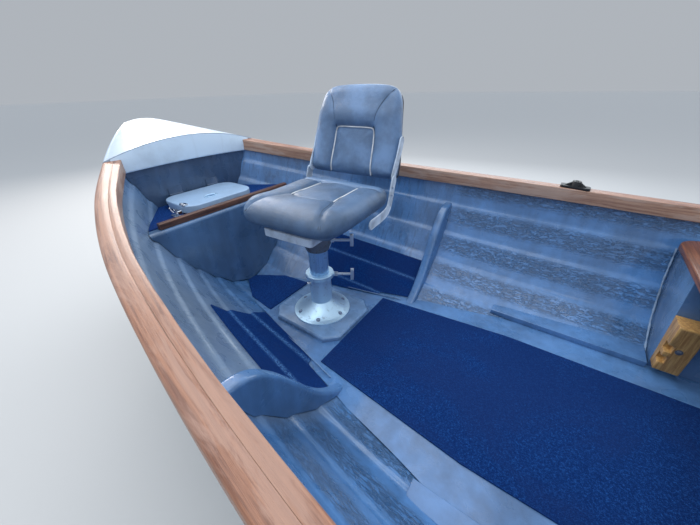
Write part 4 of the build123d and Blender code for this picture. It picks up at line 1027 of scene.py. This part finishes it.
def blown_up(grid, held):
    """The grid remeshed evenly and blown up as cloth, held where held() says, then subdivided once."""
    rows, columns = grid.shape[:2]
    ends = [list(range(columns)), list(range((rows - 1) * columns, rows * columns))[::-1]]
    rough = face_outwards(loose_object(grid.reshape(-1, 3), grid_faces(rows, columns, wrap=True) + ends))
    remesh = rough.modifiers.new("even", "REMESH")
    remesh.mode = "VOXEL"
    remesh.voxel_size = 0.0055
    start, faces = read_mesh(rough)
    bpy.data.objects.remove(rough)
    work = loose_object(start, faces)
    moved = start
    group = work.vertex_groups.new(name="held")
    group.add(np.nonzero(held(start))[0].tolist(), 1.0, "REPLACE")
    cloth = work.modifiers.new("blown", "CLOTH")
    for key, value in CLOTH.items():
        setattr(cloth.settings, key, value)
    cloth.settings.effector_weights.gravity = 0
    cloth.collision_settings.use_collision = False
    cloth.point_cache.frame_start = 1
    cloth.point_cache.frame_end = BLOW_FRAMES
    for frame_number in range(1, BLOW_FRAMES + 1):
        bpy.context.scene.frame_set(frame_number)
    moved, _ = read_mesh(work)
    bpy.context.scene.frame_set(1)
    step = moved - start
    length = np.linalg.norm(step, axis=1, keepdims=True)
    moved = start + step * np.minimum(1, MOST_BLOWN / np.maximum(length, 1e-9))
    bpy.data.objects.remove(work)
    work = loose_object(moved, faces)
    finer = work.modifiers.new("finer", "SUBSURF")
    finer.levels = finer.render_levels = 1
    points, faces = read_mesh(work)
    bpy.data.objects.remove(work)
    return points, faces


def sewn(grid, low, high, base, seams, loose_seams, depth, lows, highs):
    """A cushion's grid blown up between its seams, grooved along them and fitted to a box.

    Its lower face is held, and so are the seams higher than base above it; loose_seams only get
    the groove.
    """
    def held(points):
        on_seam = to_lines(points, seams) < 0.004
        return (points[:, 2] < low + 0.004) | (on_seam & (points[:, 2] > low + base))

    points, faces = blown_up(grid, held)
    groove = valley(to_lines(points, seams + loose_seams), depth, 0.0028)
    points[:, 2] -= groove * smooth_step(high - 0.04, high - 0.01, points[:, 2])
    small, large = points.min(0), points.max(0)
    return lows + (points - small) * (np.array(highs) - lows) / (large - small), faces


def cords_on(points, faces, place, body):
    """Gives a function that makes a cord along a plan line laid on a cushion's upper face."""
    tree = BVHTree.FromPolygons(points.tolist(), faces)

    def cord(name, line, radius, finish, lift=-0.0002, count=CORD_POINTS, sides=6):
        """The line is dropped on the face, its heights evened over eleven points and lifted."""
        hits = [tree.ray_cast(Vector((*p, 0.8)), Vector((0, 0, -1)))[0] for p in even(line, count)]
        path = np.array([h for h in hits if h is not None])
        heights = np.pad(path[:, 2], 5, mode="edge")
        path[:, 2] = np.convolve(heights, np.ones(11) / 11, "valid") + lift
        tube_along(name, place(path), radius, body, finish, sides=sides)

    return cord


# Seat cushion. The top panel lies between two pipings; mitred seams run from its corners to the cushion's.
PANEL_FORE, PANEL_AFT = 0.010, -0.154
seat_sides = [np.array([(s * 0.089, PANEL_FORE), (s * 0.085, -0.07), (s * 0.083, PANEL_AFT)])
              for s in (1, -1)]
fore_seam = softened([(0.089, 0.006), (0.05, 0.026), (0, 0.032), (-0.05, 0.026), (-0.089, 0.006)])
seat_mitres = [softened([(s * 0.089, 0.006), (s * 0.108, 0.060), (s * 0.122, 0.120), (s * 0.150, 0.176)])
               for s in (1, -1)]
flap_seam = np.array([(0.165, PANEL_AFT), (-0.165, PANEL_AFT)])


def seat_cushion():
    """The plan is |x / a|^p + |y / b|^p = 1, squarer aft (p = 10) than fore (p = 5.2)."""
    turn = np.linspace(0, 2 * np.pi, 240, endpoint=False)
    c, s = np.cos(turn), np.sin(turn)
    power = np.where(s < 0, 2 / 10, 2 / 5.2)
    reach = (SEAT_FORE + SEAT_AFT - 0.012) / 2
    plan = np.column_stack([(SEAT_HALF - 0.006) * np.sign(c) * np.abs(c) ** power,
                            reach * np.sign(s) * np.abs(s) ** power + (SEAT_FORE - SEAT_AFT) / 2])
    low, high = CUSHION_LOW + 0.001, CUSHION_TOP - 0.009
    grid = pillow(even(plan, 220, closed=True), low, high, (0.034, 0.032), (0.036, 0.034))
    flat = grid.reshape(-1, 3)
    x, y, z = flat.T
    top = smooth_step(high - 0.04, high - 0.004, z)
    seams = [*seat_sides, fore_seam, *seat_mitres]
    dip = valley(to_lines(flat, seams), 0.010, 0.009) + valley(to_lines(flat, [flap_seam]), 0.006, 0.007)
    panel = smooth_step(0.094, 0.080, np.abs(x)) * smooth_step(0.026, 0.008, y)
    crown = 0.006 * (1 - (x / SEAT_HALF) ** 2)
    roll = valley(y - 0.108, 0.007, 0.05) - 0.010 * smooth_step(0.10, 0.188, y)
    flat[:, 2] += top * (crown + roll - dip - 0.006 * panel * (y > PANEL_AFT))
    points, faces = sewn(grid, low, high, 0.03, seams, [flap_seam], 0.0022,
                         [-SEAT_HALF, -SEAT_AFT, CUSHION_LOW], [SEAT_HALF, SEAT_FORE, CUSHION_TOP])
    made = mesh_object("seat_cushion_cover", seat_place(points), faces, "seat", vinyl,
                       stands_for=["seat_cushion"], slot="seat_vinyl")
    # The rear flap, where the vinyl is smoother and painted paler as a reflection of the sky.
    point_values(made, "flap", smooth_step(PANEL_AFT + 0.001, PANEL_AFT - 0.003, points[:, 1])
                 * smooth_step(high - 0.02, high, points[:, 2]))
    cord = cords_on(points, faces, seat_place, "seat")
    for (word, _), line in zip(HANDS, seat_sides):
        cord("seat_piping_" + word, line, 0.0025, piping_white, lift=0.0016, sides=10)
    for (word, _), line in zip(HANDS, seat_mitres):
        for row, shift in (("inner", -0.0032), ("outer", 0.0032)):
            cord("seat_stitch_" + word + "_" + row, line + [shift, 0], 0.0008, thread_dark)
    cord("seat_front_seam", fore_seam, 0.0009, thread_dark)


# Back cushion. Its lower panel lies back between two bolsters and under the domed top, inside a U of piping.
U_HALF, U_TOP = 0.088, 0.160
u_left = [(-U_HALF - 0.004, BACK_BOTTOM + 0.004), (-U_HALF, 0.06), (-U_HALF + 0.003, U_TOP - 0.02),
          (-U_HALF + 0.008, U_TOP), (-U_HALF + 0.028, U_TOP + 0.002)]
u_line = softened(u_left + [(-x, y) for x, y in u_left[::-1]])
back_mitres = [softened([(s * 0.082, U_TOP), (s * 0.089, 0.205), (s * 0.106, 0.252), (s * 0.138, 0.292)])
               for s in (1, -1)]


def stand_back(points):
    """The back cushion's points in place, kept clear of the seat's brackets near the pivot."""
    x, up, out = points.T
    widest = 0.1868 + 0.03 * smooth_step(0.050, 0.085, np.hypot(up, out))
    return back_place(np.column_stack([np.clip(x + BACK_SHIFT, -widest, widest), out, up]))


def back_cushion():
    """The plan is half an outline, mirrored and with its corners cut."""
    half = np.array([(-0.120, BACK_BOTTOM), (-0.187, BACK_BOTTOM), (-0.190, 0.020), (-0.1885, 0.075),
                     (-0.183, 0.145), (-0.172, 0.220), (-0.160, 0.280), (-0.130, 0.308), (-0.06, BACK_TOP),
                     (0.0, BACK_TOP)])
    plan = softened(np.vstack([half, (half[:-1] * [-1, 1])[::-1]]), closed=True)
    low, high = BACK_FACE - BACK_THICK + 0.001, BACK_FACE - 0.009
    grid = pillow(even(plan, 220, closed=True), low, high, (0.010, 0.010), (0.034, 0.036))
    flat = grid.reshape(-1, 3)
    x, up, out = flat.T
    face = smooth_step(high - 0.04, high - 0.004, out)
    inside = (smooth_step(U_HALF + 0.004, U_HALF - 0.008, np.abs(x))
              * smooth_step(U_TOP + 0.004, U_TOP - 0.008, up))
    dome = valley(up - 0.203, 0.014, 0.034) * (1 - (x / 0.2) ** 2)
    bolster = valley(np.abs(x) - 0.135, 0.006, 0.03) * smooth_step(0.2, 0.12, up)
    drop = (valley(to_lines(flat, [u_line]), 0.014, 0.010) + 0.010 * inside
            + valley(to_lines(flat, back_mitres), 0.005, 0.008))
    lean = 0.012 * smooth_step(0.22, BACK_TOP, up)
    flat[:, 2] += face * (dome + bolster - drop - lean)
    points, faces = sewn(grid, low, high, 0.02, [u_line, *back_mitres], [], 0.002,
                         [-BACK_HALF, BACK_BOTTOM, BACK_FACE - BACK_THICK], [BACK_HALF, BACK_TOP, BACK_FACE])
    points[:, 2] += 0.008 * smooth_step(0.13, 0.0, points[:, 1]) * smooth_step(-0.03, 0.0, points[:, 2])
    made = mesh_object("back_cushion_cover", stand_back(points), [f[::-1] for f in faces], "backrest",
                       vinyl_back_lit, stands_for=["back_cushion"], slot="seat_vinyl")
    cord = cords_on(points, faces, stand_back, "backrest")
    cord("back_piping", u_line, 0.0025, piping_white, lift=0.0016, count=140, sides=10)
    for (word, _), line in zip(HANDS, back_mitres):
        cord("back_stitch_" + word, line, 0.0009, thread_dark)


seat_cushion()
back_cushion()


# The seat's brackets, arms, board and pan

BRACKET_X = 0.1918
BRACKET_LINE = [(-0.045, 0.390), (-0.165, 0.391), (-0.200, 0.406), (-0.215, 0.440), (-0.224, 0.478),
                (-0.240, 0.5180)]
ARM_LINE = [(0.004, -0.016), (-0.004, 0.03), (-0.018, 0.075), (-0.024, 0.140)]
BAR_THICK = 0.005
BAR_EASE = 0.0012


def flat_bar(name, line, x, wide, place, body, stands_for):
    """A flat bar with round ends: a strip of even width along a line of (y, z), standing at one x."""
    line = even(softened(line, 4), 70)
    along = np.gradient(line, axis=0)
    along /= np.linalg.norm(along, axis=1, keepdims=True)
    square = np.stack([-along[:, 1], along[:, 0]], 1)
    walk = walk_along(line)
    from_end = np.clip(1 - np.minimum(walk, walk[-1] - walk) / (wide / 2), 0, 1)
    half = wide / 2 * np.sqrt(np.clip(1 - from_end ** 2, 0.01, 1))
    ring = [(-1, -1, 0, 1), (-1, -1, 1, 0), (-1, 1, 1, 0), (-1, 1, 0, 1),
            (1, 1, 0, 1), (1, 1, 1, 0), (1, -1, 1, 0), (1, -1, 0, 1)]
    points = np.stack([np.column_stack([
        np.full(len(line), x + across * (BAR_THICK / 2 - cut_x * BAR_EASE)),
        line + square * (up * np.maximum(half - cut_up * BAR_EASE, 0.0004))[:, None]])
        for across, up, cut_x, cut_up in ring], 1)
    grid_piece(name, place(points), body, seat_metal, slot="seat_metal", crease=40, stands_for=stands_for)


for word, side in HANDS:
    flat_bar("seat_bracket_" + word, BRACKET_LINE, side * BRACKET_X, 0.036, seat_place, "seat",
             ["seat_brackets"])
    flat_bar("back_arm_" + word, ARM_LINE, side * (BRACKET_X - 0.006), 0.034, back_place, "backrest",
             ["back_arms"])
    outward = seat_place([side, 0, 0]) - PEDESTAL
    for index, (y, z) in enumerate(((-0.2225, 0.4790), (-0.2175, 0.4520))):
        spot = seat_place([side * (BRACKET_X + 0.0024), y, z])
        bolt_head("bracket_bolt_%s_%d" % (word, index + 1), spot, outward, 0.0042, 0.0034, "seat",
                  clamp_steel)
rounded_slab("seat_board_ply", (-0.150, -0.176, 0.3996), (0.150, 0.138, 0.4113), 0.03, 0.002, "seat", vinyl,
             place=seat_place, stands_for=["seat_board"], slot="seat_shell")
rounded_slab("seat_pan_tray", (-0.094, -0.150, 0.3696), (0.106, 0.150, 0.3990), 0.012, 0.004, "seat",
             seat_metal, place=seat_place, stands_for=["seat_pan"], slot="seat_metal")


# Floor, lights and camera

FLOOR_HALF = 40.0
MIDDLE_GREY = 187.516   # half of the light
floor = linked(bpy.data.objects.new("floor", bpy.data.meshes.new("floor")))
corners = [(-FLOOR_HALF, -FLOOR_HALF, 0), (FLOOR_HALF, -FLOOR_HALF, 0), (FLOOR_HALF, FLOOR_HALF, 0),
           (-FLOOR_HALF, FLOOR_HALF, 0)]
floor.data.from_pydata(corners, [], [(0, 1, 2, 3)])
floor.data.materials.append(Finish("studio_floor", [MIDDLE_GREY] * 3, rough=0.9).material)

# The camera sees a plain grey backdrop, and the boat is lit by a pale sky.
world = bpy.data.worlds.new("studio")
bpy.context.scene.world = world
world.use_nodes = True
nodes, links = world.node_tree.nodes, world.node_tree.links
sky = nodes["Background"]
sky.inputs["Color"].default_value = (0.78, 0.86, 0.96, 1)
sky.inputs["Strength"].default_value = 0.95
backdrop = nodes.new("ShaderNodeBackground")
backdrop.inputs["Color"].default_value = (0.43, 0.46, 0.50, 1)
rays = nodes.new("ShaderNodeLightPath")
both = nodes.new("ShaderNodeMixShader")
links.new(rays.outputs["Is Camera Ray"], both.inputs[0])
links.new(sky.outputs[0], both.inputs[1])
links.new(backdrop.outputs[0], both.inputs[2])
links.new(both.outputs[0], nodes["World Output"].inputs["Surface"])


def softbox(name, place, aim, size, power, colour):
    lamp = bpy.data.lights.new(name, "AREA")
    lamp.shape = "RECTANGLE"
    lamp.size, lamp.size_y = size
    lamp.energy = power
    lamp.color = colour
    made = linked(bpy.data.objects.new(name, lamp))
    made.location = place
    made.rotation_euler = (Vector(aim) - Vector(place)).to_track_quat("-Z", "Y").to_euler()


softbox("sky_panel", (1.4, 0.2, 3.6), (0.8, 0, 0.3), (5.0, 3.6), 95, (0.93, 0.97, 1.0))
softbox("low_sun", (4.6, -1.2, 2.3), (1.0, 0.2, 0.3), (1.6, 1.0), 72, (1.0, 0.95, 0.90))
softbox("starboard_fill", (1.6, -3.0, 1.9), (1.0, 0.5, 0.3), (3.2, 1.4), 42, (0.90, 0.96, 1.0))

EYE = Vector((0.5815, 0.7373, 0.9221))
YAW, PITCH, ROLL = math.radians(35.72), math.radians(30.57), math.radians(1.14)
FOCAL_PIXELS, PICTURE_PIXELS, SENSOR = 299.74, 700, 36
ahead = Vector((math.sin(YAW) * math.cos(PITCH), -math.cos(YAW) * math.cos(PITCH), -math.sin(PITCH)))
level = ahead.cross(Vector((0, 0, 1))).normalized()
drop = ahead.cross(level)
right = math.cos(ROLL) * level + math.sin(ROLL) * drop
down = -math.sin(ROLL) * level + math.cos(ROLL) * drop
lens = bpy.data.cameras.new("view")
lens.sensor_width = SENSOR
lens.lens = SENSOR * FOCAL_PIXELS / PICTURE_PIXELS
lens.clip_start = 0.02
camera = linked(bpy.data.objects.new("view", lens))
camera.matrix_world = Matrix.Translation(EYE) @ Matrix((right, -down, -ahead)).transposed().to_4x4()
bpy.context.scene.camera = camera
bpy.context.scene.view_settings.view_transform = "Standard"
